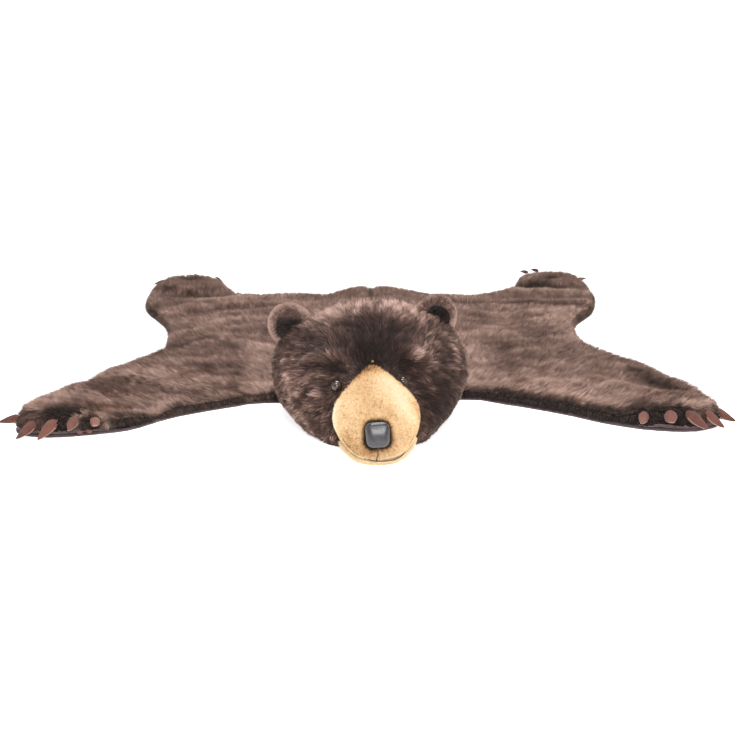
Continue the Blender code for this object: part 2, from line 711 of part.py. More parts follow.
# ---------------------------------------------------------------- the claws
def make_claw(claw, collection, material, body_cutter):
    """A stuffed felt cone, a little flattened and curved down to its tip."""
    form = bmesh.new()
    rings = []
    for step in range(CLAW_RINGS):
        share = step / (CLAW_RINGS - 1)
        along = -CLAW_ROOT + (CLAW_ROOT + claw.length) * share
        swell = math.sin(math.pi * (CLAW_BELLY + (1 - CLAW_BELLY) * share)) ** 0.85
        radius = max(claw.radius * swell, CLAW_TIP_RADIUS)
        ring = []
        for side in range(CLAW_SIDES):
            angle = 2 * math.pi * side / CLAW_SIDES
            across = radius * math.cos(angle)
            up = CLAW_FLATNESS * radius * math.sin(angle) - CLAW_CURL * share ** 2
            ring.append(form.verts.new((along, across, up)))
        rings.append(ring)
    for first, second in zip(rings, rings[1:]):
        for side in range(CLAW_SIDES):
            form.faces.new((first[side - 1], first[side], second[side], second[side - 1]))
    form.faces.new(rings[0])
    form.faces.new(rings[-1])
    turn = Matrix.Rotation(math.radians(claw.heading), 4, "Z")
    droop = Matrix.Rotation(math.radians(claw.droop), 4, "Y")
    place = Matrix.Translation((claw.x, claw.y, claw.z))
    bmesh.ops.transform(form, matrix=place @ turn @ droop, verts=form.verts)
    name = "claw_{}_{}".format(claw.paw, claw.toe)
    piece = add_mesh(name, form, collection, material)
    cut(piece, body_cutter)
    return piece


def centre_on_origin(collections):
    """Hang every piece and cutter on one empty that puts the middle of the box at zero."""
    middle = bpy.data.objects.new("rug_middle", None)
    middle.location = (MIDDLE_X, MIDDLE_Y, 0.0)
    collections[0].objects.link(middle)
    for collection in collections:
        for piece in collection.objects:
            if piece is not middle:
                piece.parent = middle


def main():
    clear_scene()
    parts = new_collection("bear_rug")
    cutters = new_collection("cutters")

    head = make_head(parts)
    head_cutter = clearance(head, cutters)
    body = make_rug_body(parts, head_cutter)
    body_cutter = clearance(body, cutters)
    make_lining(parts, head_cutter)

    muzzle = make_muzzle_form("muzzle", MUZZLE, parts, "muzzle plush")
    cut(muzzle, head_cutter)
    muzzle_cutter = clearance(muzzle, cutters)
    jaw = make_muzzle_form("jaw", JAW, parts, "jaw plush")
    cut(jaw, head_cutter)
    cut(jaw, muzzle_cutter)
    nose = make_nose(parts)
    cut(nose, muzzle_cutter)

    eye_material = new_material("eye glass")
    ear_materials = (new_material("head fur"), new_material("ear velvet"))
    for side, word in ((-1, "left"), (1, "right")):
        eye = make_eye("eye_" + word, side, parts, eye_material)
        cut(eye, head_cutter)
        cut(eye, muzzle_cutter)
        make_ear(word, side, parts, cutters, head_cutter, ear_materials)

    claw_material = new_material("claw felt")
    for claw in CLAWS:
        make_claw(claw, parts, claw_material, body_cutter)
    centre_on_origin((parts, cutters))


main()
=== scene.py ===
"""Looks of the bear-shaped play rug: fur, felt, plush, nose, eyes, claws and the studio.

Metres, +Z up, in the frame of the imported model: the head looks along -Y, and "left" is the
side at -X. Fur is made of tapered blades. Each is rooted on a skin that lies a little under
the solid's surface, so that the tips reach the solid. A blade's UV tells its colour: u is its
tone, and v runs from root to tip.
"""
import math
from collections import namedtuple
from contextlib import contextmanager

import bmesh
import bpy
import numpy as np
from mathutils import Matrix, Vector
from mathutils.bvhtree import BVHTree


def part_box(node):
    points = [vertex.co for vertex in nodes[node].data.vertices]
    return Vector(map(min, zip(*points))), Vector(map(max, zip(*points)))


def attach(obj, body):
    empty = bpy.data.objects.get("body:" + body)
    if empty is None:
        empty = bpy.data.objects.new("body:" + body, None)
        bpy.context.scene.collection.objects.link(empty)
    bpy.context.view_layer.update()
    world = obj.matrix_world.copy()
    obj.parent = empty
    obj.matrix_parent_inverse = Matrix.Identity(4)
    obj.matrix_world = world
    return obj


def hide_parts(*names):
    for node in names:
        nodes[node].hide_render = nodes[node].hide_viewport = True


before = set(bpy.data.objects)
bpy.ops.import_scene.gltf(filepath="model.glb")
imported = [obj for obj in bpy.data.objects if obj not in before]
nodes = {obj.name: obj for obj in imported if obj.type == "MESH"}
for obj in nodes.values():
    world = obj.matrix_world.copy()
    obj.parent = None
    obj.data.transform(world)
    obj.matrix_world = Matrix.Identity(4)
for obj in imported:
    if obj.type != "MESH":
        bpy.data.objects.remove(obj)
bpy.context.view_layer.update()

# ---------------------------------------------------------------- places and sizes
PATTERN_MIDDLE = Vector((-0.0048, 0.0068, 0.0))  # from the zero of the pattern to the origin
HEAD_PLACE = Vector((0.007, -0.432, 0.0))  # middle of the head on the floor, in the pattern
HEAD_YAW = math.radians(2.8)
HEAD_ROLL = math.radians(2.7)
FELT_TOP = 0.0028  # the skin lies on the felt backing
FELT_SHOWS = 0.0030  # fur at the rim stops this high over the floor
WELD = 1e-5  # corners nearer than this are joined

CAMERA_PLACE = Vector((0.0, -2.726, 0.709))  # in the pattern
CAMERA_PITCH = math.radians(90 - 15.23)
CAMERA_LENS = 68.32
CAMERA_SENSOR = 36.0

# A pile: length and width of its blades, the lean from the surface's normal at the root, how
# much more they lean at the tip, how unevenly they are combed, how much they turn about their
# own line, the size of a lock, how far a tip is pulled to its lock's middle, how much the tones
# of blades side by side differ, and the number of sections along a blade.
Pile = namedtuple("Pile", "length width lean droop unevenness roll lock pull contrast sections")
BODY_PILE = Pile(0.0140, 0.00095, 0.62, 0.70, 0.30, 0.50, 0.009, 0.30, 0.09, 1)
HEAD_PILE = Pile(0.0175, 0.00085, 0.86, 0.54, 0.20, 0.26, 0.013, 0.40, 0.11, 2)
EAR_PILE = Pile(0.0046, 0.00055, 0.60, 0.60, 0.25, 0.30, 0.003, 0.20, 0.08, 1)
VELVET_PILE = Pile(0.0036, 0.00060, 0.35, 0.50, 0.50, 0.50, 0.004, 0.15, 0.06, 1)
PLUSH_PILE = Pile(0.0032, 0.00055, 0.35, 0.50, 0.60, 0.50, 0.003, 0.20, 0.05, 1)

# How blades vary: shares of their pile's length, width and pull from least to most, the spread
# of their lean, each blade's stray from its lock's swirl, and how much a blade narrows before
# its last section, which ends in a point.
LENGTH_SHARES = (0.72, 1.18)
WIDTH_SHARES = (0.7, 1.3)
PULL_SHARES = (0.5, 1.3)
LEAN_SPREAD = 0.16
STRAY = 0.6
TAPER = 0.35
LOCK_CONTRAST = 0.06  # how much a lock's tone differs from the next

BODY_BLADES = 400000
HEAD_BLADES = 92000
EAR_BLADES = 16000
VELVET_BLADES = 7000
MUZZLE_BLADES = 50000
JAW_BLADES = 12000

# ---------------------------------------------------------------- arithmetic on many points
def smoothstep(low, high, value):
    share = np.clip((value - low) / (high - low), 0.0, 1.0)
    return share * share * (3.0 - 2.0 * share)


def bell(away, width):
    """1 where away is 0, and 0 beyond about two widths."""
    return np.exp(-(away / width) ** 2)


def norms(vectors):
    return np.linalg.norm(vectors, axis=1)


def unit(vectors):
    return vectors / np.maximum(norms(vectors), 1e-9)[:, None]


def dot(a, b):
    return np.sum(a * b, axis=1, keepdims=True)


def along_surface(vectors, normals):
    """The directions that the vectors have within the surface."""
    return unit(vectors - normals * dot(vectors, normals))


def turned(vectors, axes, angles):
    """Each vector turned about its own axis."""
    cosine = np.cos(angles)[:, None]
    sine = np.sin(angles)[:, None]
    return vectors * cosine + np.cross(axes, vectors) * sine + axes * dot(axes, vectors) * (1 - cosine)


def noise(points, cell, seed):
    """Smooth noise from -1 to 1. Its lumps have the size of a cell: one number, or one an axis."""
    scaled = points / np.asarray(cell, float)
    corner = np.floor(scaled).astype(np.int64)
    share = scaled - corner
    share = share * share * (3.0 - 2.0 * share)
    total = np.zeros(len(points))
    for step in np.ndindex(2, 2, 2):
        x, y, z = (corner + step).T
        mixed = (x * 73856093) ^ (y * 19349663) ^ (z * 83492791) ^ (seed * 2654435761)
        mixed = ((mixed ^ (mixed >> 13)) * 1274126177) & 0xFFFFFFFF
        value = ((mixed ^ (mixed >> 15)) & 0xFFFF) / 32767.5 - 1.0
        total += value * np.prod(np.where(step, share, 1.0 - share), axis=1)
    return total


def head_frame():
    """From the head's own frame to the world."""
    moved = Matrix.Translation(PATTERN_MIDDLE + HEAD_PLACE)
    return moved @ Matrix.Rotation(HEAD_YAW, 4, "Z") @ Matrix.Rotation(-HEAD_ROLL, 4, "Y")


def in_pattern(points):
    """World points from the zero of the rug's pattern."""
    return points - np.array(PATTERN_MIDDLE)


def apply_matrix(matrix, points):
    array = np.array(matrix)
    return points @ array[:3, :3].T + array[:3, 3]


def in_head(points):
    """World points in the head's own frame: x to the right, y back, z up."""
    return apply_matrix(head_frame().inverted(), points)


def from_head(points):
    return apply_matrix(head_frame(), points)


def head_directions(vectors):
    """Directions of the head's own frame in the world."""
    return vectors @ np.array(head_frame())[:3, :3].T


Mark = namedtuple("Mark", "name path width height tone")


def marks(*rows):
    """Soft ridges, troughs and patches, each along a path of points in the plane or in space.

    A row holds a mark's name, its half width, how high it stands, how much lighter it is than
    what is around it, and its points. Rows are in millimetres, and marks in metres.
    """
    return [Mark(name, [tuple(value / 1000 for value in point) for point in path], width / 1000,
                 height / 1000, tone) for name, width, height, tone, *path in rows]


def away_from(points, path):
    """How far the points are from a path."""
    size = len(path[0])
    points = points[:, :size]
    nearest_yet = np.full(len(points), np.inf)
    for start, end in zip(path, path[1:] or path):
        start, line = np.array(start), np.subtract(end, start)
        share = np.clip((points - start) @ line / max(line @ line, 1e-12), 0.0, 1.0)
        nearest_yet = np.minimum(nearest_yet, norms(points - start - share[:, None] * line))
    return nearest_yet


def marked(points, table, field):
    """The sum of the marks' heights or tones at the points."""
    total = np.zeros(len(points))
    for mark in table:
        total += getattr(mark, field) * bell(away_from(points, mark.path), mark.width)
    return total


# ---------------------------------------------------------------- meshes and objects
def link(name, data):
    """A new object in the scene."""
    piece = bpy.data.objects.new(name, data)
    bpy.context.scene.collection.objects.link(piece)
    return piece


def piece_from(form, name):
    """A new object from a bmesh, which is freed."""
    mesh = bpy.data.meshes.new(name)
    form.to_mesh(mesh)
    form.free()
    return link(name, mesh)


@contextmanager
def edited(piece):
    """A bmesh of the piece, written back in the end."""
    form = bmesh.new()
    form.from_mesh(piece.data)
    yield form
    form.to_mesh(piece.data)
    form.free()


def read(collection, name, width):
    values = np.zeros(len(collection) * width)
    collection.foreach_get(name, values)
    return values.reshape(-1, width) if width > 1 else values


def points_of(piece):
    return read(piece.data.vertices, "co", 3)


def normals_of(piece):
    return read(piece.data.vertices, "normal", 3)


def set_points(piece, points):
    piece.data.vertices.foreach_set("co", np.ascontiguousarray(points, np.float32).ravel())
    piece.data.update()


def shade_smooth(piece):
    piece.data.polygons.foreach_set("use_smooth", np.ones(len(piece.data.polygons), bool))


def finish_piece(piece, material, node_names=()):
    """Give a piece its material, and let it ride on the rug and stand for its nodes."""
    piece.data.materials.clear()
    piece.data.materials.append(material)
    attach(piece, "root")
    if node_names:
        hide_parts(*node_names)
    return piece


def copy_of(node, name):
    """A new object with a node's form, its faces welded."""
    form = bmesh.new()
    form.from_mesh(nodes[node].data)
    bmesh.ops.remove_doubles(form, verts=form.verts, dist=WELD)
    return piece_from(form, name)


def middle_of(node):
    low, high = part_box(node)
    return (low + high) / 2


def apply_modifiers(piece):
    depsgraph = bpy.context.evaluated_depsgraph_get()
    depsgraph.update()
    mesh = bpy.data.meshes.new_from_object(piece.evaluated_get(depsgraph))
    piece.modifiers.clear()
    piece.data = mesh
    shade_smooth(piece)
    return piece


def remeshed(node, name, voxel, rounds):
    """A node's form in even small faces, with its facets rounded off."""
    piece = copy_of(node, name)
    remesh = piece.modifiers.new("even faces", "REMESH")
    remesh.mode = "VOXEL"
    remesh.voxel_size = voxel
    smooth = piece.modifiers.new("rounding", "SMOOTH")
    smooth.factor = 0.5
    smooth.iterations = rounds
    return apply_modifiers(piece)


def subdivided(node, name, levels):
    piece = copy_of(node, name)
    subdivision = piece.modifiers.new("rounding", "SUBSURF")
    subdivision.levels = levels
    subdivision.render_levels = levels
    return apply_modifiers(piece)


def sink(piece, depth, floor, lift=False):
    """Draw a skin in by the pile's depth. What faces down goes up only with lift."""
    points = points_of(piece)
    normals = normals_of(piece)
    inward = -normals * np.asarray(depth).reshape(-1, 1)
    if not lift:
        inward[normals[:, 2] < 0.0, 2] = 0.0
    inward *= smoothstep(-0.95, -0.80, normals[:, 2])[:, None]
    points += inward
    points[:, 2] = np.maximum(points[:, 2], floor)
    set_points(piece, points)


def write_tone(piece, tone):
    attribute = piece.data.attributes.new("tone", "FLOAT", "POINT")
    attribute.data.foreach_set("value", tone.astype(np.float32))


def tree_of(*names):
    """For distances to the surface of some nodes."""
    corners = []
    faces = []
    for name in names:
        mesh = nodes[name].data
        start = len(corners)
        corners.extend(vertex.co.copy() for vertex in mesh.vertices)
        faces.extend([start + i for i in face.vertices] for face in mesh.polygons)
    return BVHTree.FromPolygons(corners, faces)


def distances(tree, points, most):
    """How far each point is from the tree's surface, at most a given distance."""
    found = (tree.find_nearest(Vector(point), most)[3] for point in points)
    return np.array([most if away is None else away for away in found])


# ---------------------------------------------------------------- blades of fur
UV_NAME = "OFBake"
UV_HALF_WIDTH = 0.004


def scatter(piece, count, seed, weight=None):
    """Roots spread evenly over a skin, with the surface's normals there."""
    mesh = piece.data
    mesh.calc_loop_triangles()
    triangles = np.zeros(len(mesh.loop_triangles) * 3, np.int32)
    mesh.loop_triangles.foreach_get("vertices", triangles)
    triangles = triangles.reshape(-1, 3)
    points = points_of(piece)
    normals = normals_of(piece)
    corners = points[triangles]
    area = norms(np.cross(corners[:, 1] - corners[:, 0], corners[:, 2] - corners[:, 0]))
    if weight is not None:
        area = area * weight(corners.mean(axis=1), unit(normals[triangles].mean(axis=1)))
    rng = np.random.default_rng(seed)
    reached = np.cumsum(area)
    wanted = (np.arange(count) + rng.random(count)) / count * reached[-1]
    chosen = triangles[np.searchsorted(reached, wanted).clip(0, len(triangles) - 1)]
    a = np.sqrt(rng.random(count))[:, None]
    b = rng.random(count)[:, None]
    shares = np.stack((1 - a, a * (1 - b), a * b), axis=1)
    return (points[chosen] * shares).sum(axis=1), unit((normals[chosen] * shares).sum(axis=1))


def locks_of(roots, size, seed):
    """The lock that each root belongs to: a cell of a grid that noise has bent."""
    bends = [noise(roots, 2.2 * size, seed + axis) for axis in range(3)]
    cells = np.floor(roots / size + 0.8 * np.stack(bends, axis=1)).astype(np.int64)
    return np.unique(cells, axis=0, return_inverse=True)[1].ravel()


def lock_means(values, lock):
    """For each root, the mean of its lock's values."""
    sizes = np.bincount(lock)
    sums = [np.bincount(lock, column) for column in values.T]
    return np.stack([(total / sizes)[lock] for total in sums], axis=1)


def grow(name, roots, normals, nap, pile, tone, seed, length_share=1.0, floor=0.0):
    """One mesh of tapered blades on the given roots, combed along nap."""
    rng = np.random.default_rng(seed)
    count = len(roots)
    levels = pile.sections
    lock = locks_of(roots, pile.lock, seed)
    swirl = rng.normal(0, pile.unevenness, lock.max() + 1)[lock]
    swirl = swirl + rng.normal(0, STRAY * pile.unevenness, count)
    combed = turned(along_surface(nap, normals), normals, swirl)
    tone = tone + rng.normal(0, LOCK_CONTRAST, lock.max() + 1)[lock]
    length = pile.length * length_share * rng.uniform(*LENGTH_SHARES, count)
    lean = pile.lean + rng.normal(0, LEAN_SPREAD, count)
    line = [roots]
    for level in range(levels):
        angle = (lean + pile.droop * (level + 0.5) / levels)[:, None]
        ahead = np.cos(angle) * normals + np.sin(angle) * combed
        line.append(line[-1] + ahead * (length / levels)[:, None])
    follow = pile.pull * rng.uniform(*PULL_SHARES, count)[:, None]
    tips = line[-1]
    middles = lock_means(tips, lock)
    for level in range(1, levels + 1):
        line[level] = line[level] + (middles - tips) * follow * (level / levels) ** 2
    sideways = unit(np.cross(combed, normals))
    roll = rng.normal(0, pile.roll, count)
    half = 0.5 * pile.width * rng.uniform(*WIDTH_SHARES, count)
    rings = []
    for level in range(levels):
        ahead = unit(line[level + 1] - line[level])
        across = turned(sideways, ahead, roll) * (half * (1.0 - TAPER * level / levels))[:, None]
        rings += [line[level] - across, line[level] + across]
    rings.append(line[levels])
    corners = np.stack(rings, axis=1)
    corners[:, :, 2] = np.maximum(corners[:, :, 2], floor)
    return blade_mesh(name, corners, levels, tone)


def blade_mesh(name, corners, levels, tone):
    """Blades as quads that end in a triangle, coloured through their UV."""
    count, per_blade = corners.shape[:2]
    pattern = []
    starts = []
    for level in range(levels - 1):
        low = 2 * level
        starts.append(len(pattern))
        pattern += [low, low + 1, low + 3, low + 2]
    starts.append(len(pattern))
    pattern += [per_blade - 3, per_blade - 2, per_blade - 1]
    loops = (np.arange(count)[:, None] * per_blade + np.array(pattern)).ravel()
    face_starts = (np.arange(count)[:, None] * len(pattern) + np.array(starts)).ravel()
    mesh = bpy.data.meshes.new(name)
    mesh.vertices.add(count * per_blade)
    mesh.vertices.foreach_set("co", corners.astype(np.float32).ravel())
    mesh.loops.add(len(loops))
    mesh.loops.foreach_set("vertex_index", loops.astype(np.int32))
    mesh.polygons.add(len(face_starts))
    mesh.polygons.foreach_set("loop_start", face_starts.astype(np.int32))
    mesh.polygons.foreach_set("use_smooth", np.ones(len(face_starts), bool))
    mesh.update(calc_edges=True)
    place = np.zeros((per_blade, 2))
    for level in range(levels):
        place[2 * level] = (-UV_HALF_WIDTH, level / levels)
        place[2 * level + 1] = (UV_HALF_WIDTH, level / levels)
    place[-1] = (0.0, 1.0)
    uv = np.broadcast_to(place[pattern], (count, len(pattern), 2)).copy()
    uv[:, :, 0] += np.clip(tone, 0.01, 0.99)[:, None]
    uv[:, :, 1] = 0.01 + 0.98 * uv[:, :, 1]
    layer = mesh.uv_layers.new(name=UV_NAME)
    layer.data.foreach_set("uv", uv.astype(np.float32).ravel())
    return link(name, mesh)


# ---------------------------------------------------------------- materials
class Look:
    """A material, built up from textures, ramps and products of colours."""

    def __init__(self, name, roughness, specular, sheen=0.0, sheen_tint=(1, 1, 1), coat=0.0,
                 coat_roughness=0.04):
        self.material = bpy.data.materials.new(name)
        self.material.use_nodes = True
        self.tree = self.material.node_tree
        self.shader = self.tree.nodes["Principled BSDF"]
        self.feed(self.shader, {
            "Roughness": roughness, "Specular IOR Level": specular, "Sheen Weight": sheen,
            "Sheen Roughness": 0.5, "Sheen Tint": (*sheen_tint, 1), "Coat Weight": coat,
            "Coat Roughness": coat_roughness})

    def feed(self, node, inputs):
        """Give a node's inputs their values, or link them to other nodes' outputs."""
        for name, value in inputs.items():
            if isinstance(value, bpy.types.NodeSocket):
                self.tree.links.new(value, node.inputs[name])
            else:
                node.inputs[name].default_value = value

    def paint(self, source, name="Base Color"):
        """Link one of the shader's inputs."""
        self.feed(self.shader, {name: source})

    def add(self, kind, inputs, **settings):
        """A new node, with its settings and inputs."""
        node = self.tree.nodes.new("ShaderNode" + kind)
        for name, value in settings.items():
            setattr(node, name, value)
        self.feed(node, inputs)
        return node

    def ramp(self, source, rows):
        """A colour ramp over (place, grey value or colour) rows."""
        node = self.add("ValToRGB", {"Fac": source})
        elements = node.color_ramp.elements
        while len(elements) < len(rows):
            elements.new(0.5)
        for element, (place, colour) in zip(elements, rows):
            element.position = place
            element.color = (*(colour if isinstance(colour, tuple) else (colour,) * 3), 1)
        return node.outputs["Color"]

    def product(self, a, b):
        """Two colours multiplied."""
        return self.add("Mix", {0: 1.0, 6: a, 7: b}, data_type="RGBA", blend_type="MULTIPLY").outputs[2]

    def parts(self, vector):
        """The X, Y and Z of a vector."""
        return self.add("SeparateXYZ", {"Vector": vector}).outputs

    def place(self):
        """Places in the object's own coordinates."""
        return self.add("TexCoord", {}).outputs["Object"]

    def tone(self):
        """The tone that write_tone has left on the vertices."""
        return self.add("Attribute", {}, attribute_name="tone").outputs["Fac"]

    def texture(self, kind, scale, stretch=(1, 1, 1), output="Fac", **inputs):
        """An output of a texture in the object's own coordinates, stretched along its axes."""
        mapping = self.add("Mapping", {"Vector": self.place(), "Scale": stretch})
        inputs = {"Vector": mapping.outputs["Vector"], "Scale": scale, **inputs}
        return self.add("Tex" + kind, inputs).outputs[output]

    def bump(self, height, distance, strength=0.6):
        node = self.add("Bump", {"Height": height, "Distance": distance, "Strength": strength})
        self.paint(node.outputs["Normal"], "Normal")


def blade_material(name, tones, shades, roughness, sheen, sheen_tint=(1, 1, 1)):
    """Fibres: the tone gives the colour, and the place along the blade a painted shade and highlight."""
    look = Look(name, roughness, specular=0.12, sheen=sheen, sheen_tint=sheen_tint)
    parts = look.parts(look.add("UVMap", {}, uv_map=UV_NAME).outputs["UV"])
    look.paint(look.product(look.ramp(parts["X"], tones), look.ramp(parts["Y"], shades)))
    return look.material


def skin_material(name, tones, shade, fibre):
    """The cloth under a pile: the same tones, darker by a painted shade, with the grain of its fibres."""
    look = Look(name, roughness=0.9, specular=0.15)
    grain = look.texture("Noise", 1.0 / fibre, Detail=4.0, Roughness=0.7)
    # a painted shade under the pile, varied by the grain
    depth = look.ramp(grain, ((0.3, 0.55 * shade), (0.7, shade)))
    look.paint(look.product(look.ramp(look.tone(), tones), depth))
    look.paint(look.ramp(grain, ((0.2, 0.9), (0.8, 0.75))), "Roughness")
    look.bump(grain, fibre)
    return look.material


# A pile's shades run from a blade's root to its tip: a painted shade deep in the pile, and on the body
# and head a painted highlight on the tips.
BODY_TONES = (
    (0.00, (0.020, 0.012, 0.010)),
    (0.30, (0.088, 0.050, 0.038)),
    (0.60, (0.208, 0.124, 0.096)),
    (1.00, (0.540, 0.360, 0.295)),
)
BODY_SHADES = ((0.0, 0.35), (0.45, 0.85), (0.8, 1.0), (1.0, 1.15))
HEAD_TONES = (
    (0.00, (0.010, 0.006, 0.005)),
    (0.35, (0.036, 0.019, 0.015)),
    (0.65, (0.132, 0.074, 0.058)),
    (1.00, (0.520, 0.345, 0.285)),
)
HEAD_SHADES = ((0.0, 0.50), (0.5, 0.85), (0.8, 1.05), (1.0, 1.25))
PLUSH_TONES = (
    (0.00, (0.012, 0.010, 0.009)),
    (0.18, (0.150, 0.070, 0.028)),
    (0.40, (0.580, 0.335, 0.145)),
    (0.65, (0.830, 0.625, 0.375)),
    (1.00, (0.900, 0.785, 0.620)),
)
PLUSH_SHADES = ((0.0, 0.80), (0.6, 1.0), (1.0, 1.0))


# ---------------------------------------------------------------- the flat fur skin
# Folds, rims, pits and patches of the skin, in the pattern. Their tones are mostly painted light
# and shade: ridges, rims, the patches named lit and those beside the head are paler as painted
# light, and troughs, dents, pits, hollows and the rims' dark bands are darker as painted shade.
BODY_MARKS = marks(
    ("back left, trough", 13, -3.5, -0.16, (-378, 264), (-298, 297), (-188, 314)),
    ("hind leg left, ridge", 18, 3, 0.1, (-428, 249), (-368, 364), (-278, 409)),
    ("hind leg left, trough", 14, -3, -0.24, (-448, 429), (-398, 434), (-338, 434)),
    ("back left, ridge", 13, 2.5, 0.1, (-338, 154), (-264, 196), (-188, 214)),
    ("flank left, ridge", 15, 3.2, 0.13, (-393, 49), (-326, 107), (-275, 11), (-178, -86)),
    ("flank left, trough", 14, -2.8, -0.13, (-373, -21), (-312, 29), (-253, -83)),
    ("bay left, dent", 18, -4, -0.2, (-390, -22), (-373, -27)),
    ("shoulder left, ridge", 14, 3.5, 0.12, (-468, -253), (-393, -276), (-352, -309), (-168, -331)),
    ("shoulder left, trough", 14, -2.8, -0.1, (-448, -289), (-373, -314), (-329, -366)),
    ("leg left, ridge", 12, 2.2, 0.07, (-548, -451), (-462, -420), (-418, -445)),
    ("rim left", 16, 0, 0.2, (-428, -483), (-354, -450), (-303, -413), (-233, -366), (-168, -346)),
    ("back right, trough", 14, -3.5, -0.15, (122, 379), (265, 365), (332, 352)),
    ("ankle right, ridge", 17, 3.2, 0.13, (345, 482), (424, 458), (507, 449)),
    ("ankle right, trough", 14, -3, -0.13, (302, 345), (386, 341), (472, 329)),
    ("flank right, ridge", 14, 2.6, 0.1, (242, 254), (320, 243), (384, 264), (457, 284)),
    ("flank right, trough", 12, -2.2, -0.09, (222, 214), (302, 194), (362, 224)),
    ("bay right", 32, 1.5, 0.13, (402, 72), (387, -1)),
    ("side right, dark", 22, -2, -0.14, (337, 41), (362, 37)),
    ("side right, low", 16, -2.5, -0.13, (272, -31), (257, -81)),
    ("side right, lower", 18, -2, -0.1, (261, -154), (302, -186)),
    ("foreleg left", 50, 0, 0.2, (-500, -400), (-400, -390)),
    ("foreleg right", 50, 0, 0.14, (330, -320), (480, -380)),
    ("wrist left", 30, 6, 0.03, (-560, -430), (-515, -345)),
    ("wrist right", 28, 6, 0.05, (470, -215), (500, -245)),
    ("beside the head, left", 35, 0, 0.12, (-215, -40), (-200, -150), (-192, -330)),
    ("beside the head, right", 35, 0, 0.13, (186, 34), (200, -160), (205, -270)),
    ("shoulder left, lit", 36, 0, 0.18, (-380, -250), (-290, -275)),
    ("flank right, lit", 40, 0, 0.12, (372, 172), (440, 230)),
    ("back right, lit", 34, 0, 0.08, (300, 120), (240, 80)),
    ("side right, lit", 45, 0, 0.06, (397, -95), (350, -180), (290, -250)),
    ("foreleg right, back", 30, 0, 0.08, (480, -220), (540, -330)),
    ("hind leg left", 60, 0, -0.09, (-440, 300), (-400, 480)),
    ("hind leg right", 50, 0, -0.05, (400, 400), (480, 500)),
    ("rim right, dark", 15, 0, -0.3, (170, -328), (205, -333), (260, -364), (291, -386), (320, -399),
     (370, -437), (420, -476), (447, -488)),
    ("rim right, lit", 12, 1.5, 0.44, (162, -298), (237, -322), (291, -356), (342, -390), (390, -430),
     (430, -450)),
    ("rim left, dark", 10, 0, -0.2, (-415, -505), (-380, -483), (-300, -415), (-240, -373), (-160, -348)),
    ("paw left, toes", 24, 0, 0.2, (-580, -515, 30), (-530, -552, 30)),
    ("rim right", 18, 0, 0.2, (162, -321), (237, -307), (319, -311), (349, -374), (400, -416),
     (467, -416)),
    ("wrist right, dent", 19, -4.5, -0.44, (490, -225), (522, -294), (542, -340)),
    ("wrist right, pad", 17, 2, 0.12, (550, -276), (582, -366)),
    ("rump, seam", 8, -4, -0.16, (7, 384), (7, 499)),
    ("rump", 35, 0, -0.02, (-58, 429), (72, 439)),
    ("hind paw left, inner pit", 21, -5, -0.45, (-421, 549)),
    ("hind paw left, outer pit", 18, -4, -0.35, (-462, 476)),
    ("hind paw right, inner pit", 24, -5, -0.42, (372, 537), (402, 533)),
    ("hind paw right, outer pit", 18, -5, -0.45, (443, 569)),
    ("hind paw right, fold", 12, -3, -0.4, (417, 513), (460, 487)),
    ("paw left, rim", 16, 0, 0.22, (-568, -489, 47), (-485, -505, 50), (-433, -487, 32)),
    ("paw left, hollow", 19, -5, -0.6, (-508, -542, 42), (-455, -518, 40)),
    ("paw left, streak", 5, 0, 0.66, (-464, -512), (-478, -534)),
    ("paw left, tuft", 8, 0, 0.48, (-441, -510), (-433, -522)),
    ("paw right, rim", 14, 0, 0.2, (468, -461, 42), (501, -483, 48), (542, -491, 48)),
    ("paw right, hollow", 14, -4.5, -0.55, (457, -503, 30), (505, -515, 28)),
    ("paw right, pale tuft", 10, 0, 0.35, (517, -495, 49), (526, -499, 46)),
    ("paw right, toes", 19, 0, 0.28, (545, -508, 38), (574, -488, 38)),
)
LEG_MIDDLE = np.array((0.0, 0.04, 0.0))  # the legs point away from here
BODY_SINK = 0.0080  # how far the skin lies under the solid's surface
WRINKLE = 0.0026
BODY_TONE = 0.57
BODY_CONTRAST = 1.6  # the marks' tones and heights, strengthened
BODY_RELIEF = 1.4


def body_tone(points, normals, rng=None):
    """Pale on the top, painted light at the rims, painted shade on the sides, most where they face the
    front.
    """
    place = in_pattern(points)
    up = normals[:, 2]
    front = smoothstep(0.10, -0.60, normals[:, 1])
    streaks = noise(points, (0.110, 0.035, 0.10), 3)
    mottling = noise(points, 0.024, 4) + 1.1 * noise(points, 0.009, 5)
    teeth = noise(points, (0.005, 0.012, 0.02), 6)
    tone = BODY_TONE + 0.09 * streaks + 0.11 * mottling + 0.03 * smoothstep(0.10, 0.30, place[:, 1])
    # a painted shade on the turned-down sides, deepest where they face the front
    turned_down = smoothstep(0.94, 0.76, up + 0.05 * teeth)
    tone -= turned_down * (0.12 + 0.36 * front)
    tone += turned_down * (0.12 * teeth + 0.10 * noise(points, 0.020, 9))
    # a painted light along the front rims
    tone += 0.16 * front * smoothstep(0.80, 0.90, up) * smoothstep(0.99, 0.95, up)
    # the marks' painted light and shade
    tone += BODY_CONTRAST * marked(place + 0.003 * teeth[:, None], BODY_MARKS, "tone")
    if rng is not None:
        tone += rng.normal(0, BODY_PILE.contrast, len(points))
    return tone


def body_nap(points, normals):
    """Out along the legs and back to the tail, with swirls, and down over the rim."""
    up = np.broadcast_to((0.0, 0.0, 1.0), points.shape)
    outward = unit((points - LEG_MIDDLE) * (1, 1, 0))
    on_leg = smoothstep(0.05, 0.30, np.abs(points[:, 0]))[:, None]
    nap = unit(outward * on_leg + (0.0, 0.55, 0.0))
    swirls = 0.9 * noise(points, 0.11, 7) + 0.5 * noise(points, 0.03, 8) + 0.5 * noise(points, 0.014, 10)
    nap = turned(nap, up, swirls)
    rim = smoothstep(0.88, 0.40, normals[:, 2])[:, None]
    over = unit(normals * (1, 1, 0)) * 0.4 - up
    return nap * (1 - rim) + over * rim


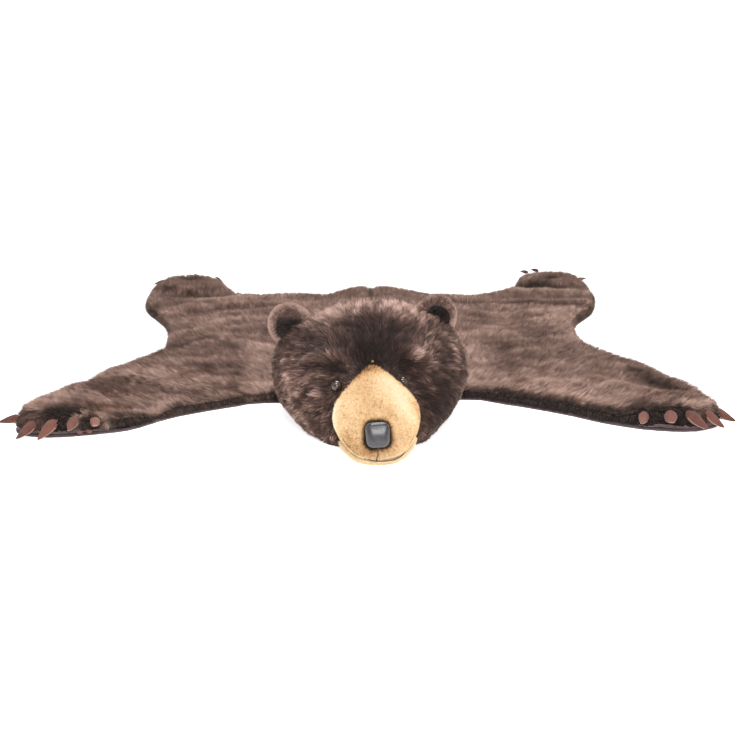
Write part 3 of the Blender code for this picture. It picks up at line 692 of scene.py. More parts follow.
def make_rug_skin():
    """The ground of the fur, lowered by the pile, with small wrinkles on its folds."""
    skin = subdivided("rug_body", "rug_skin", levels=1)
    sink(skin, BODY_SINK, FELT_TOP)
    points = points_of(skin)
    normals = normals_of(skin)
    top = smoothstep(0.5, 0.9, normals[:, 2])
    waves = noise(points, (0.090, 0.045, 0.09), 11) + 0.5 * noise(points, (0.04, 0.025, 0.04), 12)
    points[:, 2] += WRINKLE * waves * top
    points += BODY_RELIEF * normals * marked(in_pattern(points), BODY_MARKS, "height")[:, None]
    points[:, 2] = np.maximum(points[:, 2], FELT_TOP)
    set_points(skin, points)
    write_tone(skin, body_tone(points, normals_of(skin)))
    material = skin_material("fur ground, body", BODY_TONES, 0.7, 0.004)
    return finish_piece(skin, material, ["rug_body"])


# Felt that turns up at the front paws: the boxes it lies in, in the pattern, and its height.
PAW_FELT_BOXES = (((-0.640, -0.600), (-0.400, -0.480)), ((0.420, -0.600), (0.665, -0.430)))
PAW_FELT_TOP = 0.0120
PAW_FELT_ROOM = 0.010  # no fur is rooted low down this near to the boxes


def at_paw_felt(points, room=0.0):
    """Which points lie, seen from above, in the front paws' felt boxes or nearer than room."""
    place = in_pattern(points)[:, :2]
    found = np.zeros(len(points), bool)
    for low, high in PAW_FELT_BOXES:
        found |= np.all((place > np.array(low) - room) & (place < np.array(high) + room), axis=1)
    return found


def make_body_fur(skin):
    """The pile, in three pieces from left to right."""
    def weight(points, normals):
        on_felt = at_paw_felt(points, PAW_FELT_ROOM) & (points[:, 2] < 0.8 * PAW_FELT_TOP)
        bare = (normals[:, 2] < -0.15) | on_felt
        return np.where(bare, 0.0, 1.0 + 0.6 * smoothstep(0.8, 0.3, normals[:, 2]))
    roots, normals = scatter(skin, BODY_BLADES, 21, weight)
    rng = np.random.default_rng(22)
    tone = body_tone(roots, normals, rng)
    nap = body_nap(roots, normals)
    material = blade_material("fur, body", BODY_TONES, BODY_SHADES, 0.62, 0.20, (0.95, 0.76, 0.68))
    hang = 0.45 + 0.35 * noise(roots, 0.005, 24) + 0.2 * noise(roots, 0.020, 25)
    floor = FELT_SHOWS + at_paw_felt(roots, PAW_FELT_ROOM) * (PAW_FELT_TOP - FELT_SHOWS) * hang
    order = np.argsort(roots[:, 0])
    pieces = []
    for part, chosen in zip(("left", "middle", "right"), np.array_split(order, 3)):
        fur = grow(f"body_fur_{part}", roots[chosen], normals[chosen], nap[chosen], BODY_PILE,
                   tone[chosen], 23, floor=floor[chosen, None])
        pieces.append(finish_piece(fur, material))
    return pieces


# ---------------------------------------------------------------- the felt backing
FELT_STEP = 0.012  # longer edges are cut in two
FELT_FRAY = 0.0009  # how far the cut edge wanders


def felt_material():
    look = Look("felt backing", roughness=0.95, specular=0.1, sheen=0.3, sheen_tint=(0.8, 0.7, 0.75))
    fibres = look.texture("Noise", 900.0, (1.0, 0.35, 1.0), Detail=5.0, Roughness=0.75)
    blotches = look.texture("Noise", 14.0, Detail=2.0)
    colour = look.ramp(fibres, ((0.25, (0.055, 0.037, 0.038)), (0.75, (0.135, 0.096, 0.098))))
    look.paint(look.product(colour, look.ramp(blotches, ((0.3, 0.8), (0.7, 1.0)))))
    look.bump(fibres, 0.0008)
    return look.material


def make_felt():
    """The backing: its cut edge a little uneven."""
    felt = copy_of("lining", "felt_sheet")
    with edited(felt) as form:
        long_edges = [edge for edge in form.edges if edge.calc_length() > FELT_STEP]
        bmesh.ops.subdivide_edges(form, edges=long_edges, cuts=1, use_grid_fill=True)
    points = points_of(felt)
    normals = normals_of(felt)
    edge = smoothstep(0.9, 0.6, np.abs(normals[:, 2]))
    outward = unit(normals * (1, 1, 0))
    points += outward * (FELT_FRAY * noise(points, 0.014, 31) * edge)[:, None]
    set_points(felt, points)
    material = felt_material()
    make_paw_felt(material)
    return finish_piece(felt, material, ["lining"])


PAW_ROLL = 0.0080  # the radius with which the paws curve under
PAW_FELT_SINK = 0.0012  # how far this felt lies under the fur's solid
PAW_FELT_WAVES = 0.0012  # and how far its upper part goes up and down
# Two small pink pads on the left paw's felt: place in the pattern and half sizes.
PADS = ((-0.4712, -0.5510, 0.0078), (-0.4565, -0.5475, 0.0080))
PAD_SIZE = (0.0050, 0.0014, 0.0030)
PAD_TONE = 0.36  # on the claws' colours


def make_paw_felt(material):
    """The backing turns up a little over the lower edge of the front paws."""
    band = subdivided("rug_body", "paw_felt", levels=2)
    inner_ends = (PAW_FELT_BOXES[0][1][0], PAW_FELT_BOXES[1][0][0])
    with edited(band) as form:
        centres = np.array([face.calc_center_median() for face in form.faces])
        seen = np.array([face.normal.z > -0.95 and face.normal.y < 0.3 for face in form.faces])
        room = np.min([np.abs(in_pattern(centres)[:, 0] - end) for end in inner_ends], axis=0)
        top = PAW_FELT_TOP * smoothstep(-0.005, 0.060, room) * (0.9 + 0.15 * noise(centres, 0.012, 35))
        kept = at_paw_felt(centres) & (centres[:, 2] < top) & seen
        form.faces.ensure_lookup_table()
        bmesh.ops.delete(form, geom=[form.faces[i] for i in np.flatnonzero(~kept)], context="FACES")
    points = points_of(band)
    normals = normals_of(band)
    level = norms(normals[:, :2])[:, None]
    outward = unit(normals[:, :2])
    points[:, :2] += (normals[:, 2:] < 0) * outward * PAW_ROLL * (1 - level)
    points[:, :2] -= PAW_FELT_SINK * outward * (1.0 + noise(points, 0.010, 33))[:, None]
    points[:, 2] += PAW_FELT_WAVES * noise(points, 0.008, 34) * (points[:, 2] > 0.006)
    set_points(band, points)
    finish_piece(band, material)


def make_pads(material):
    """The pink pads, in the claws' felt."""
    form = bmesh.new()
    for place in PADS:
        matrix = Matrix.Translation(PATTERN_MIDDLE + Vector(place)) @ Matrix.Diagonal((*PAD_SIZE, 1))
        bmesh.ops.create_uvsphere(form, u_segments=16, v_segments=10, radius=1.0, matrix=matrix)
    pads = piece_from(form, "paw_pads")
    shade_smooth(pads)
    write_tone(pads, np.full(len(pads.data.vertices), PAD_TONE))
    finish_piece(pads, material)


# ---------------------------------------------------------------- the stuffed head
# Places on the head are in its own frame.
BRIDGE_ROOT = np.array((-0.002, -0.150, 0.118))  # from here the fur is combed away
HEAD_SINK = 0.0078  # how far the skin lies under the solid's surface,
SINK_AT_MUZZLE = 0.0030  # and next to the muzzle, where the fur is short
HEAD_FLOOR = 0.0004  # the skin ends this high over the floor
HEAD_TONE = 0.41
BRIDGE_TIP = np.array((-0.002, -0.118, 0.130))  # the muzzle's upper point, raised over the fur
BRIDGE_TIP_REACH = 0.016
BRIDGE_TIP_BARE = 0.018  # the head's fur starts this far around it
BRIDGE_TIP_RAISE = np.array((0.0, -0.0040, 0.0115))
# Brows, creases, partings and patches. Their tones are mostly painted light and shade: the crown,
# its left edge and right band, the brows and the partings over the eyes are paler as painted light,
# and the creases, temples, the crown's parting, the forehead and the places between the eyes and
# beside the bridge are darker as painted shade.
HEAD_MARKS = marks(
    ("crown", 40, 0, 0.46, (-70, 2, 188), (60, -2, 190)),
    ("crown, left edge", 22, 0, 0.04, (-95, -10, 172), (-60, 0, 190)),
    ("crown, parting", 7, -4, -0.22, (12, -15, 188), (5, -45, 176)),
    ("crown, right band", 14, 3, 0.25, (75, 0, 186), (95, -50, 163), (92, -90, 138)),
    ("root of the bridge, dent", 13, -11.5, 0, (-2, -114, 130), (-2, -104, 136)),
    ("forehead", 42, 0, -0.24, (0, -60, 165), (0, -105, 138)),
    ("between the eyes", 28, 0, -0.14, (-10, -100, 142), (4, -116, 130)),
    ("brow tuft right", 15, 7, 0.46, (62, -110, 128), (82, -112, 112)),
    ("brow right, inner", 13, 6, 0, (30, -112, 136), (70, -112, 130)),
    ("brow left", 13, 7, 0.12, (-115, -85, 132), (-58, -112, 135)),
    ("crease left", 8, -8, -0.44, (-108, -98, 121), (-64, -123, 124)),
    ("parting left", 6.5, 2, 0.55, (-84, -122, 113), (-64, -130, 111)),
    ("crease right", 8, -7.5, -0.3, (36, -124, 126), (84, -120, 118)),
    ("parting right", 7, 1, 0.2, (60, -134, 106), (75, -132, 103)),
    ("temple left", 16, -3, -0.1, (-120, -40, 150), (-100, -60, 150)),
    ("temple right", 12, -3, -0.06, (105, -60, 146), (130, -60, 125)),
    ("under the right ear", 22, 0, 0.2, (110, -30, 152), (135, -40, 120)),
    ("beside the bridge, right", 25, 0, -0.12, (50, -135, 105), (80, -135, 75)),
    ("cheek left", 36, 0, 0.22, (-130, -85, 95), (-122, -100, 45)),
    ("cheek right", 35, 0, -0.16, (112, -124, 75), (105, -130, 45)),
)
# Where the brows' fur hangs down over the eyes, how far around, and the way it hangs.
BROWS = (((0.062, -0.136, 0.116), 0.016), ((-0.066, -0.132, 0.118), 0.011))
BROW_FALL = np.array((0.0, -0.5, -2.6))
CHEEK_FALL = np.array((0.0, 0.30, -0.25))  # the way the cheeks' fur hangs
EYE_FUR = {"left": 0.28, "right": 0.80}  # the share of the fur's length at the eyes


def head_tone(points, rng=None):
    """Dark, with pale streaks on the cheeks, and a painted light at its sides and low down."""
    local = in_head(points)
    from_bridge = local - BRIDGE_ROOT
    away = norms(from_bridge)[:, None]
    rays = unit(from_bridge)
    streaks = noise(rays * (1 + 2 * away), 0.050, 40) + 0.7 * noise(rays * (1 + 3 * away), 0.022, 44)
    side = smoothstep(0.120, 0.150, np.abs(local[:, 0]))
    low = smoothstep(0.050, 0.020, local[:, 2])
    tone = HEAD_TONE + 0.07 * noise(local, 0.030, 41) + 0.09 * noise(local, 0.010, 42)
    # a painted light where the head turns away at its sides, and low down
    tone += 0.07 * side + 0.11 * low
    tone += (0.13 + 0.10 * smoothstep(0.05, 0.11, np.abs(local[:, 0]))) * streaks
    tone += marked(local, HEAD_MARKS, "tone") * (1 + 0.5 * noise(local, 0.007, 49))
    if rng is not None:
        tone += rng.normal(0, HEAD_PILE.contrast, len(points))
    return tone


def head_nap(points):
    """Away from the root of the bridge, back over the crown, and down the cheeks."""
    local = in_head(points)
    nap = unit(local - BRIDGE_ROOT)
    low = smoothstep(0.12, 0.03, local[:, 2])[:, None]
    nap = nap + CHEEK_FALL * low
    for place, reach in BROWS:
        nap = nap + BROW_FALL * bell(norms(local - place), reach)[:, None]
    nap = turned(unit(nap), unit(local - (0.0, 0.0, 0.07)), 0.8 * noise(local, 0.045, 43))
    return head_directions(nap)


def make_head_skin(to_muzzle):
    """The ground of the head's fur, lowered by the pile, with its folds and small lumps."""
    skin = remeshed("head", "head_skin", voxel=0.005, rounds=6)
    open_fur = smoothstep(0.0, 0.030, distances(to_muzzle, points_of(skin), 0.04))
    low_share = 0.60 + 0.40 * smoothstep(-0.75, 0.10, normals_of(skin)[:, 2])
    sink(skin, SINK_AT_MUZZLE + (HEAD_SINK * low_share - SINK_AT_MUZZLE) * open_fur, 0.0, lift=True)
    points = points_of(skin)
    local = in_head(points)
    lumps = 0.0022 * noise(local, 0.034, 47) + 0.0010 * noise(local, 0.015, 48)
    points += normals_of(skin) * (lumps + marked(local, HEAD_MARKS, "height"))[:, None]
    points[:, 2] = np.maximum(points[:, 2], HEAD_FLOOR)
    set_points(skin, points)
    write_tone(skin, head_tone(points_of(skin)))
    material = skin_material("fur ground, head", HEAD_TONES, 0.6, 0.004)
    return finish_piece(skin, material, ["head"])


def make_head_fur(skin, to_muzzle):
    """The pile in two pieces, shorter near the muzzle and the eyes and where it faces down."""
    def weight(points, normals):
        local = in_head(points)
        bare = norms(local - BRIDGE_TIP) < BRIDGE_TIP_BARE
        return np.where(normals[:, 2] < -0.6, 0.15, 1.0 + 0.5 * (local[:, 1] < -0.02)) * ~bare
    roots, normals = scatter(skin, HEAD_BLADES, 44, weight)
    rng = np.random.default_rng(45)
    tone = head_tone(roots, rng)
    near_muzzle = smoothstep(0.001, 0.034, distances(to_muzzle, roots, 0.04))
    low_share = 0.35 + 0.65 * smoothstep(-0.60, 0.30, normals[:, 2])
    length = (0.24 + 0.76 * near_muzzle) * low_share
    for side, least in EYE_FUR.items():
        away = distances(tree_of(f"eye_{side}"), roots, 0.03)
        length *= least + (1 - least) * smoothstep(0.0, 0.022, away)
    nap = head_nap(roots)
    material = blade_material("fur, head", HEAD_TONES, HEAD_SHADES, 0.50, 0.12, (0.95, 0.76, 0.70))
    order = np.argsort(in_head(roots)[:, 1])
    for part, chosen in zip(("front", "back"), np.array_split(order, 2)):
        fur = grow(f"head_fur_{part}", roots[chosen], normals[chosen], nap[chosen], HEAD_PILE,
                   tone[chosen], 46, length[chosen], floor=0.0006)
        finish_piece(fur, material)


def make_head():
    to_muzzle = tree_of("muzzle", "jaw")
    skin = make_head_skin(to_muzzle)
    make_head_fur(skin, to_muzzle)
    return skin


# ---------------------------------------------------------------- ears
EAR_SINK = 0.0018
EAR_TONES = (0.68, 0.94)  # of an ear's back, and of its rim, paler by a painted light
CUP_DARK = {"left": 0.42, "right": 0.32}  # tones deep in the cups: dark velvet under a painted shade
CUP_LIT = 0.75  # and at their upper rims, paler by a painted light
CUP_LIT_FROM = {"left": 0.55, "right": 0.90}  # the share of their height from where they get paler


def make_ear(side, fur, velvet, velvet_ground, ground):
    """An ear's furry back with a painted light on its rim, and the dark velvet in its cup, painted darker
    deep down and lighter towards its upper rim.
    """
    skin = remeshed(f"ear_{side}", f"ear_skin_{side}", voxel=0.0025, rounds=4)
    sink(skin, EAR_SINK, 0.0)
    middle = np.array(middle_of(f"ear_{side}"))

    def ear_tone(points):
        rim = smoothstep(0.022, 0.036, norms((points - middle) * (1, 0.5, 1)))
        return EAR_TONES[0] + (EAR_TONES[1] - EAR_TONES[0]) * rim + 0.06 * noise(points, 0.02, 53)
    write_tone(skin, ear_tone(points_of(skin)))
    finish_piece(skin, ground, [f"ear_{side}"])
    roots, normals = scatter(skin, EAR_BLADES, 51)
    rng = np.random.default_rng(52)
    tone = ear_tone(roots) + rng.normal(0, EAR_PILE.contrast, EAR_BLADES)
    nap = roots - middle + np.array((0.0, 0.010, 0.0))
    pile = grow(f"ear_fur_{side}", roots, normals, nap, EAR_PILE, tone, 54)
    finish_piece(pile, fur)

    dark, lit_from = CUP_DARK[side], CUP_LIT_FROM[side]
    cup = remeshed(f"ear_lining_{side}", f"ear_velvet_ground_{side}", voxel=0.0015, rounds=3)
    low, high = (np.array(corner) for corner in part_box(f"ear_lining_{side}"))

    def cup_tone(points):
        lit = smoothstep(lit_from, lit_from + 0.45, (points[:, 2] - low[2]) / (high[2] - low[2]))
        return dark + (CUP_LIT - dark) * lit + 0.05 * noise(points, 0.012, 56)
    write_tone(cup, cup_tone(points_of(cup)))
    finish_piece(cup, velvet_ground, [f"ear_lining_{side}"])
    roots, normals = scatter(cup, VELVET_BLADES, 55, lambda points, normals: normals[:, 1] < 0.2)
    tone = cup_tone(roots) + rng.normal(0, VELVET_PILE.contrast, VELVET_BLADES)
    pile = grow(f"ear_velvet_{side}", roots, normals, roots - middle, VELVET_PILE, tone, 57)
    finish_piece(pile, velvet)


def make_ears():
    fur = blade_material("fur, ears", HEAD_TONES, HEAD_SHADES, 0.6, 0.30, (0.95, 0.80, 0.76))
    # the velvet's shades: a painted shade deep in its pile
    velvet = blade_material("velvet", HEAD_TONES, ((0.0, 0.4), (1.0, 0.9)), 0.75, 0.15)
    velvet_ground = skin_material("velvet ground", HEAD_TONES, 0.6, 0.002)
    ground = skin_material("fur ground, ears", HEAD_TONES, 0.6, 0.003)
    for side in ("left", "right"):
        make_ear(side, fur, velvet, velvet_ground, ground)


# ---------------------------------------------------------------- muzzle and jaw
PLUSH_SINK = 0.0018
JAW_TUCK = 0.0120  # how far the jaw's corners go in under the muzzle
MUZZLE_TONE = 0.62
JAW_TONE = 0.66
LIP_TONE = 0.72  # of the muzzle along the jaw
SPRAY_AND_SHADE = 0.28  # how much darker the plush is along the fur, by brown spray and a painted shade,
NOSE_SPRAY = 0.80  # and round the nose
# Patches of the sprayed plush.
MUZZLE_MARKS = marks(
    ("root of the bridge, brown", 15, 0, -0.34, (-3, -118, 137), (-4, -131, 125)),
    ("bridge, tan", 20, 0, -0.12, (-12, -150, 113), (-20, -190, 105)),
    ("right cheek, cream", 24, 0, 0.2, (30, -170, 102), (45, -210, 75)),
    ("right rim, tan", 22, 0, -0.2, (62, -190, 70), (66, -210, 30)),
    ("left rim, cream", 18, 0, 0.32, (-72, -175, 70), (-70, -200, 25)),
    ("right side, cream", 18, 0, 0.06, (36, -205, 88), (44, -222, 66)),
    ("middle, orange", 18, 0, -0.12, (-10, -235, 85), (16, -243, 78)),
    ("low left, orange", 18, 0, -0.24, (-45, -250, 40), (-20, -262, 22)),
    ("low right, orange", 16, 0, -0.08, (20, -262, 30), (40, -250, 40)),
)


def plush_tone(points, base, to_nose, to_head, to_jaw, rng=None):
    """Cream to tan, sprayed brown at the bridge and black round the nose, with a painted shade along the
    head's fur.
    """
    local = in_head(points)
    tone = base + marked(local, MUZZLE_MARKS, "tone")
    tone += 0.05 * noise(local, 0.018, 61) + 0.03 * noise(local, 0.006, 62)
    away = distances(to_nose, points, 0.05)
    low = smoothstep(0.060, 0.040, local[:, 2])
    tone += (LIP_TONE - tone) * low * bell(distances(to_jaw, points, 0.03), 0.0050)
    tone -= NOSE_SPRAY * bell(away, 0.0056)
    # darker along the head's fur: brown spray on the upper edges and a painted shade in the groove
    high = smoothstep(0.060, 0.110, local[:, 2])
    spray_and_shade = SPRAY_AND_SHADE * bell(distances(to_head, points, 0.02), 0.0022 + 0.0030 * high)
    tone -= spray_and_shade * (1 - bell(norms(local - BRIDGE_TIP - BRIDGE_TIP_RAISE), 0.014))
    if rng is not None:
        speckle = rng.random(len(points)) < 0.05 + 0.30 * np.exp(-away / 0.014)
        dots = 0.20 * speckle * (tone > 0.3) * (tone < 0.85)
        tone += rng.normal(0, PLUSH_PILE.contrast, len(points)) - dots
    return tone


def tip_raised(local):
    """The muzzle's upper point, out over the fur."""
    return local + BRIDGE_TIP_RAISE * bell(norms(local - BRIDGE_TIP), BRIDGE_TIP_REACH)[:, None]


def corners_tucked(local):
    """The jaw's upper corners, in under the muzzle."""
    high = smoothstep(0.014, 0.046, local[:, 2])
    local[:, 0] -= np.sign(local[:, 0]) * JAW_TUCK * high
    local[:, 1] += JAW_TUCK * high
    return local


def make_plush(node, base, reshaped, count, materials, trees):
    """A panel of short plush, combed back from the nose."""
    ground, pile = materials
    skin = remeshed(node, f"{node}_skin", voxel=0.0028, rounds=5)
    sink(skin, PLUSH_SINK, 0.0)
    set_points(skin, from_head(reshaped(in_head(points_of(skin)))))
    write_tone(skin, plush_tone(points_of(skin), base, *trees))
    finish_piece(skin, ground, [node])

    def weight(points, normals):
        local = in_head(points)
        return np.where((local[:, 1] > -0.115) | (normals[:, 1] > 0.5), 0.0, 1.0)
    roots, normals = scatter(skin, count, 63, weight)
    rng = np.random.default_rng(64)
    tone = plush_tone(roots, base, *trees, rng)
    nap = roots - np.array(middle_of("nose")) + (0.0, 0.02, 0.0)
    blades = grow(f"{node}_plush", roots, normals, nap, PLUSH_PILE, tone, 65, floor=0.0004)
    finish_piece(blades, pile)


def make_muzzle():
    trees = (tree_of("nose"), tree_of("head"), tree_of("jaw"))
    materials = (skin_material("plush ground", PLUSH_TONES, 0.92, 0.0012),
                 blade_material("plush", PLUSH_TONES, PLUSH_SHADES, 0.75, 0.25, (1.0, 0.92, 0.8)))
    make_plush("muzzle", MUZZLE_TONE, tip_raised, MUZZLE_BLADES, materials, trees)
    make_plush("jaw", JAW_TONE, corners_tucked, JAW_BLADES, materials, trees)


# Where the mouth's seam runs, seen from the front of the head: x and z in the head's frame.
MOUTH = ((-0.0565, 0.040), (-0.052, 0.034), (-0.039, 0.022), (-0.022, 0.013), (-0.006, 0.0095),
         (0.010, 0.0085), (0.028, 0.0105), (0.042, 0.020), (0.050, 0.032), (0.054, 0.039))
LIP = ((-0.0035, 0.032), (-0.0045, 0.026), (-0.0040, 0.020), (-0.0058, 0.015), (-0.0060, 0.0095))
SEAM_RADIUS = 0.00065
LIP_RADIUS = 0.00090
AHEAD_OF_MUZZLE = -0.40


def on_muzzle(tree, x, z, sunk):
    """The point of the muzzle or jaw in front of (x, z), a little under its surface."""
    matrix = head_frame()
    start = matrix @ Vector((x, AHEAD_OF_MUZZLE, z))
    ahead = matrix.to_3x3() @ Vector((0, 1, 0))
    place, normal = tree.ray_cast(start, ahead)[:2]
    return place - normal * sunk if place else None


def smooth_path(rows, steps):
    """Points on a smooth curve through the rows."""
    path = []
    for index in range(len(rows) - 1):
        a, b, c, d = (np.array(rows[min(max(index + k, 0), len(rows) - 1)]) for k in (-1, 0, 1, 2))
        for step in range(steps):
            t = step / steps
            path.append(0.5 * (2 * b + (c - a) * t + (2 * a - 5 * b + 4 * c - d) * t ** 2
                               + (3 * b - a - 3 * c + d) * t ** 3))
    path.append(np.array(rows[-1]))
    return path


def thread(name, lines, radius, material):
    """Sewn threads along some lines of points, in one piece."""
    curve = bpy.data.curves.new(name, "CURVE")
    curve.dimensions = "3D"
    curve.bevel_depth = radius
    curve.bevel_resolution = 2
    curve.use_fill_caps = True
    for points in lines:
        spline = curve.splines.new("POLY")
        spline.points.add(len(points) - 1)
        for place, point in zip(spline.points, points):
            place.co = (*point, 1)
    guide = link(name + "_guide", curve)
    depsgraph = bpy.context.evaluated_depsgraph_get()
    mesh = bpy.data.meshes.new_from_object(guide.evaluated_get(depsgraph))
    bpy.data.objects.remove(guide)
    piece = link(name, mesh)
    shade_smooth(piece)
    finish_piece(piece, material)


def thread_material():
    look = Look("stitching thread", roughness=0.6, specular=0.3)
    twist = look.texture("Wave", 260.0, Distortion=1.0)
    look.paint(look.ramp(twist, ((0.2, (0.045, 0.022, 0.012)), (0.8, (0.130, 0.070, 0.040)))))
    look.bump(twist, 0.0004)
    return look.material


def make_mouth():
    tree = tree_of("muzzle", "jaw")
    material = thread_material()
    threads = (("mouth_seam", MOUTH, SEAM_RADIUS, 0.0006), ("lip_stitch", LIP, LIP_RADIUS, -0.0002))
    for name, rows, radius, sunk in threads:
        found = [on_muzzle(tree, x, z, sunk) for x, z in smooth_path(rows, 6)]
        thread(name, [[point for point in found if point]], radius, material)


# ---------------------------------------------------------------- nose and eyes
# How far back the nose's front goes in its crease, at its upper edge and at its sides.
NOSE_CREASE = 0.0009
NOSE_ROOF = 0.0055
NOSE_SIDES = 0.0012


def vinyl_material():
    look = Look("nose vinyl", roughness=0.36, specular=0.15, coat=0.8, coat_roughness=0.25)
    smudge = look.texture("Noise", 120.0, Detail=3.0)
    look.paint(look.ramp(smudge, ((0.3, (0.020, 0.018, 0.020)), (0.7, (0.030, 0.028, 0.031)))))
    look.paint(look.ramp(smudge, ((0.3, 0.24), (0.7, 0.36))), "Roughness")
    look.bump(look.texture("Voronoi", 900.0, output="Distance"), 0.0002, 0.3)
    return look.material


def make_nose():
    """The moulded nose: the node's block, rounded off above, softly creased down its middle."""
    nose = remeshed("nose", "nose_shell", voxel=0.0012, rounds=10)
    local = in_head(points_of(nose))
    low, high = local.min(axis=0), local.max(axis=0)
    middle = (low + high) / 2
    front = smoothstep(middle[1], low[1], local[:, 1])
    half = (high - low) / 2
    rise = (local[:, 2] - middle[2]) / half[2]
    across = (local[:, 0] - middle[0]) / half[0]
    crease = bell(across * half[0], 0.0035) * smoothstep(0.3, -1.0, rise)
    roof = np.clip(rise, 0.0, 1.0) ** 2
    local[:, 1] += front * (NOSE_CREASE * crease + NOSE_ROOF * roof + NOSE_SIDES * across ** 2)
    local[:, 0] = middle[0] + (local[:, 0] - middle[0]) * (1.04 + 0.04 * rise)
    set_points(nose, from_head(local))
    finish_piece(nose, vinyl_material(), ["nose"])


EYE_RADIUS = 0.0092
# The eyes' middles in the head's frame. The right one lies deeper in the fur.
EYES = {"left": Vector((-0.0599, -0.1462, 0.0980)), "right": Vector((0.0467, -0.1388, 0.0965))}


def eye_material():
    """Brown glass: a black pupil and a dark brown iris, by the angle from the eye's front."""
    look = Look("eye glass", roughness=0.06, specular=0.5, coat=0.5)
    back = look.parts(look.place())["Y"]
    ahead = look.add("Math", {0: back, 1: -1.0 / EYE_RADIUS}, operation="MULTIPLY").outputs["Value"]
    colour = look.ramp(ahead, (
        (0.00, (0.004, 0.003, 0.003)), (0.55, (0.020, 0.010, 0.006)),
        (0.82, (0.060, 0.030, 0.014)), (0.90, (0.003, 0.002, 0.002))))
    streak = look.texture("Noise", 600.0, Detail=2.0)
    look.paint(look.product(colour, look.ramp(streak, ((0.3, 0.7), (0.7, 1.0)))))
    return look.material


def make_eyes():
    material = eye_material()
    for side, place in EYES.items():
        form = bmesh.new()
        bmesh.ops.create_uvsphere(form, u_segments=32, v_segments=20, radius=EYE_RADIUS)
        eye = piece_from(form, f"eye_ball_{side}")
        eye.matrix_world = head_frame() @ Matrix.Translation(place)
        shade_smooth(eye)
        finish_piece(eye, material, [f"eye_{side}"])


# ---------------------------------------------------------------- claws
PAWS = ("front_left", "front_right", "hind_left", "hind_right")
CLAWS_A_PAW = 5
# A claw's tint on the felt's ramp, and how much it changes towards the tip, by paw and toe: the
# felt's own colours from claw to claw, with a painted shade that darkens the outer front claws.
CLAW_TINTS_AND_SHADE = {
    "front_left": ((0.20, -0.12), (0.24, -0.06), (0.34, 0.05), (0.28, 0.12), (0.46, 0.12)),
    "front_right": ((0.34, 0.14), (0.32, 0.10), (0.22, 0.06), (0.32, -0.10), (0.24, -0.14)),
    "hind_left": ((0.10, -0.05),) * CLAWS_A_PAW,
    "hind_right": ((0.10, -0.05),) * CLAWS_A_PAW,
}
CLAW_COLOURS = (
    (0.00, (0.048, 0.026, 0.024)),
    (0.30, (0.140, 0.060, 0.048)),
    (0.55, (0.225, 0.108, 0.078)),
    (0.80, (0.330, 0.172, 0.124)),
    (1.00, (0.420, 0.250, 0.170)),
)
PIPING_RADIUS = 0.0006
PIPING_STEPS = 12
PIPING_BELOW = math.radians(30)  # the seam runs this much below a claw's sides


def claw_names(paw):
    return [f"claw_{paw}_{toe + 1}" for toe in range(CLAWS_A_PAW)]


def claw_material():
    """Brushed felt, blotchy, from dark brown to a reddish tan."""
    look = Look("claw felt", roughness=0.8, specular=0.12, sheen=0.12, sheen_tint=(1.0, 0.82, 0.75))
    fuzz = look.texture("Noise", 1100.0, Detail=5.0, Roughness=0.7)
    blotch = look.texture("Noise", 110.0, Detail=2.0)
    patches = look.ramp(blotch, ((0.3, (0.84, 0.76, 0.78)), (0.7, (1.10, 1.06, 1.0))))
    colour = look.product(look.ramp(look.tone(), CLAW_COLOURS), patches)
    look.paint(look.product(colour, look.ramp(fuzz, ((0.3, 0.75), (0.7, 1.0)))))
    look.bump(fuzz, 0.0007)
    return look.material


def piping_material():
    look = Look("claw piping", roughness=0.8, specular=0.2, sheen=0.3)
    fuzz = look.texture("Noise", 900.0, Detail=3.0)
    look.paint(look.ramp(fuzz, ((0.3, (0.26, 0.14, 0.11)), (0.7, (0.42, 0.27, 0.21)))))
    look.bump(fuzz, 0.0004)
    return look.material


def claw_axes(points):
    """A claw's middle, and the directions to its tip, up and to its side."""
    middle = points.mean(axis=0)
    ahead = np.linalg.svd(points - middle, full_matrices=False)[2][0]
    along = (points - middle) @ ahead
    widths = [np.ptp(points[way * along > 0.6 * np.max(way * along)], axis=0).sum() for way in (1, -1)]
    if widths[0] > widths[1]:
        ahead = -ahead
    up = np.array((0.0, 0.0, 1.0)) - ahead * ahead[2]
    up /= np.linalg.norm(up)
    return middle, ahead, up, np.cross(ahead, up)


def piping_line(points, tree):
    """Along one lower side of a claw to its tip, and back along the other."""
    middle, ahead, up, side = claw_axes(points)
    along = (points - middle) @ ahead
    bend = np.polyfit(along, (points - middle) @ up, 2)
    halves = []
    for way in (-1, 1):
        aim = Vector(side * way * math.cos(PIPING_BELOW) - up * math.sin(PIPING_BELOW))
        half = []
        for step in np.linspace(0.03, 0.96, PIPING_STEPS):
            reached = along.min() + step * np.ptp(along)
            start = middle + ahead * reached + up * np.polyval(bend, reached)
            hit = tree.ray_cast(Vector(start), aim)[0]
            if hit is not None:
                half.append(hit)
        halves.append(half)
    return halves[0] + [Vector(points[np.argmax(along)])] + halves[1][::-1]


def make_claws():
    """The claws with their piping. Returns their felt."""
    material = claw_material()
    piping = piping_material()
    for paw in PAWS:
        lines = []
        for name, (tint, change) in zip(claw_names(paw), CLAW_TINTS_AND_SHADE[paw]):
            claw = subdivided(name, name.replace("claw", "felt_claw"), levels=1)
            points = points_of(claw)
            middle, ahead = claw_axes(points)[:2]
            along = (points - middle) @ ahead
            share = (along - along.min()) / np.ptp(along)
            # the claw's tint, with its painted shade
            write_tone(claw, tint + change * smoothstep(0.35, 1.0, share))
            finish_piece(claw, material, [name])
            faces = [tuple(face.vertices) for face in claw.data.polygons]
            lines.append(piping_line(points, BVHTree.FromPolygons(points.tolist(), faces)))
        thread(f"claw_piping_{paw}", lines, PIPING_RADIUS, piping)
    return material


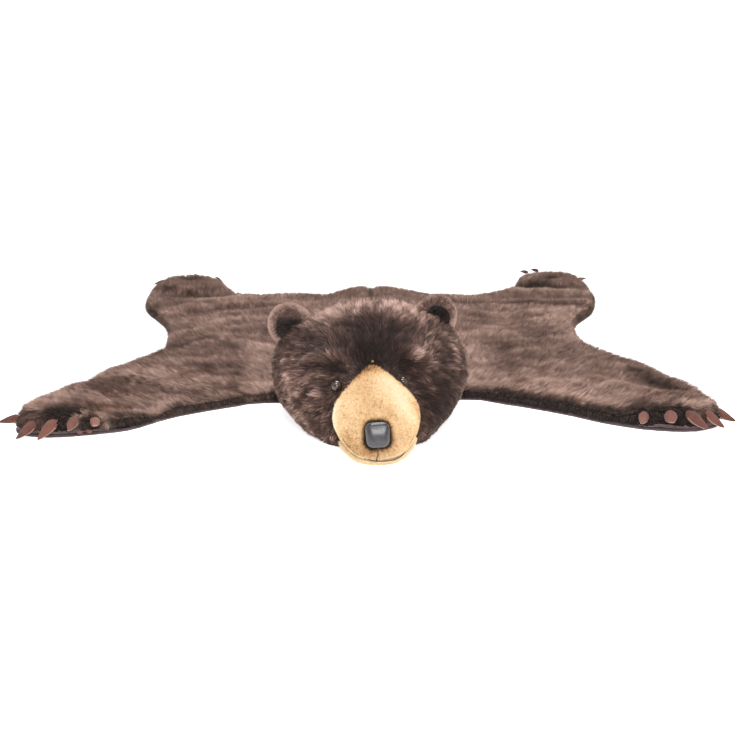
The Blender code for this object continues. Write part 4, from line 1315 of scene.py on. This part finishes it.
# ---------------------------------------------------------------- the studio
FLOOR_HALF = 250.0
FLOOR_GLOW = 0.60  # it shines a little, so that it stays white between the shadows
WORLD_LIGHT = 0.80


def make_floor():
    form = bmesh.new()
    bmesh.ops.create_grid(form, x_segments=1, y_segments=1, size=FLOOR_HALF)
    floor = piece_from(form, "floor")
    look = Look("studio floor", roughness=0.8, specular=0.2)
    look.paint(look.ramp(look.texture("Noise", 3.0), ((0.3, 0.93), (0.7, 0.95))))
    look.feed(look.shader, {"Emission Color": (1, 1, 1, 1), "Emission Strength": FLOOR_GLOW})
    floor.data.materials.append(look.material)


def make_light(name, kind, energy, place, target, size, height=None):
    light = bpy.data.lights.new(name, kind)
    light.energy = energy
    if kind == "SUN":
        light.angle = size
    else:
        light.shape = "RECTANGLE" if height else "DISK"
        light.size = size
        if height:
            light.size_y = height
    lamp = link(name, light)
    lamp.location = place
    lamp.rotation_euler = (Vector(target) - Vector(place)).to_track_quat("-Z", "Y").to_euler()


def make_studio():
    scene = bpy.context.scene
    scene.view_settings.view_transform = "Standard"
    world = bpy.data.worlds.new("studio")
    scene.world = world
    world.use_nodes = True
    background = world.node_tree.nodes["Background"]
    background.inputs["Color"].default_value = (1, 1, 1, 1)
    background.inputs["Strength"].default_value = WORLD_LIGHT
    make_light("back_light", "SUN", 1.9, (0.2, 1.2, 2.2), (0, 0, 0), math.radians(30))
    make_light("softbox", "AREA", 18.0, (-0.15, -1.25, 1.65), (0, -0.55, 0.1), 0.6)
    make_light("front_fill", "AREA", 52.0, (0.60, -3.6, 1.16), (0, -0.5, 0.1), 2.10, 0.36)
    camera = bpy.data.cameras.new("camera")
    camera.sensor_width = CAMERA_SENSOR
    camera.lens = CAMERA_LENS
    viewer = link("camera", camera)
    viewer.location = PATTERN_MIDDLE + CAMERA_PLACE
    viewer.rotation_euler = (CAMERA_PITCH, 0, 0)
    scene.camera = viewer


make_studio()
make_floor()
felt = make_felt()
rug_skin = make_rug_skin()
fur_pieces = make_body_fur(rug_skin)
head_skin = make_head()
make_ears()
make_muzzle()
make_mouth()
make_nose()
make_eyes()
make_pads(make_claws())
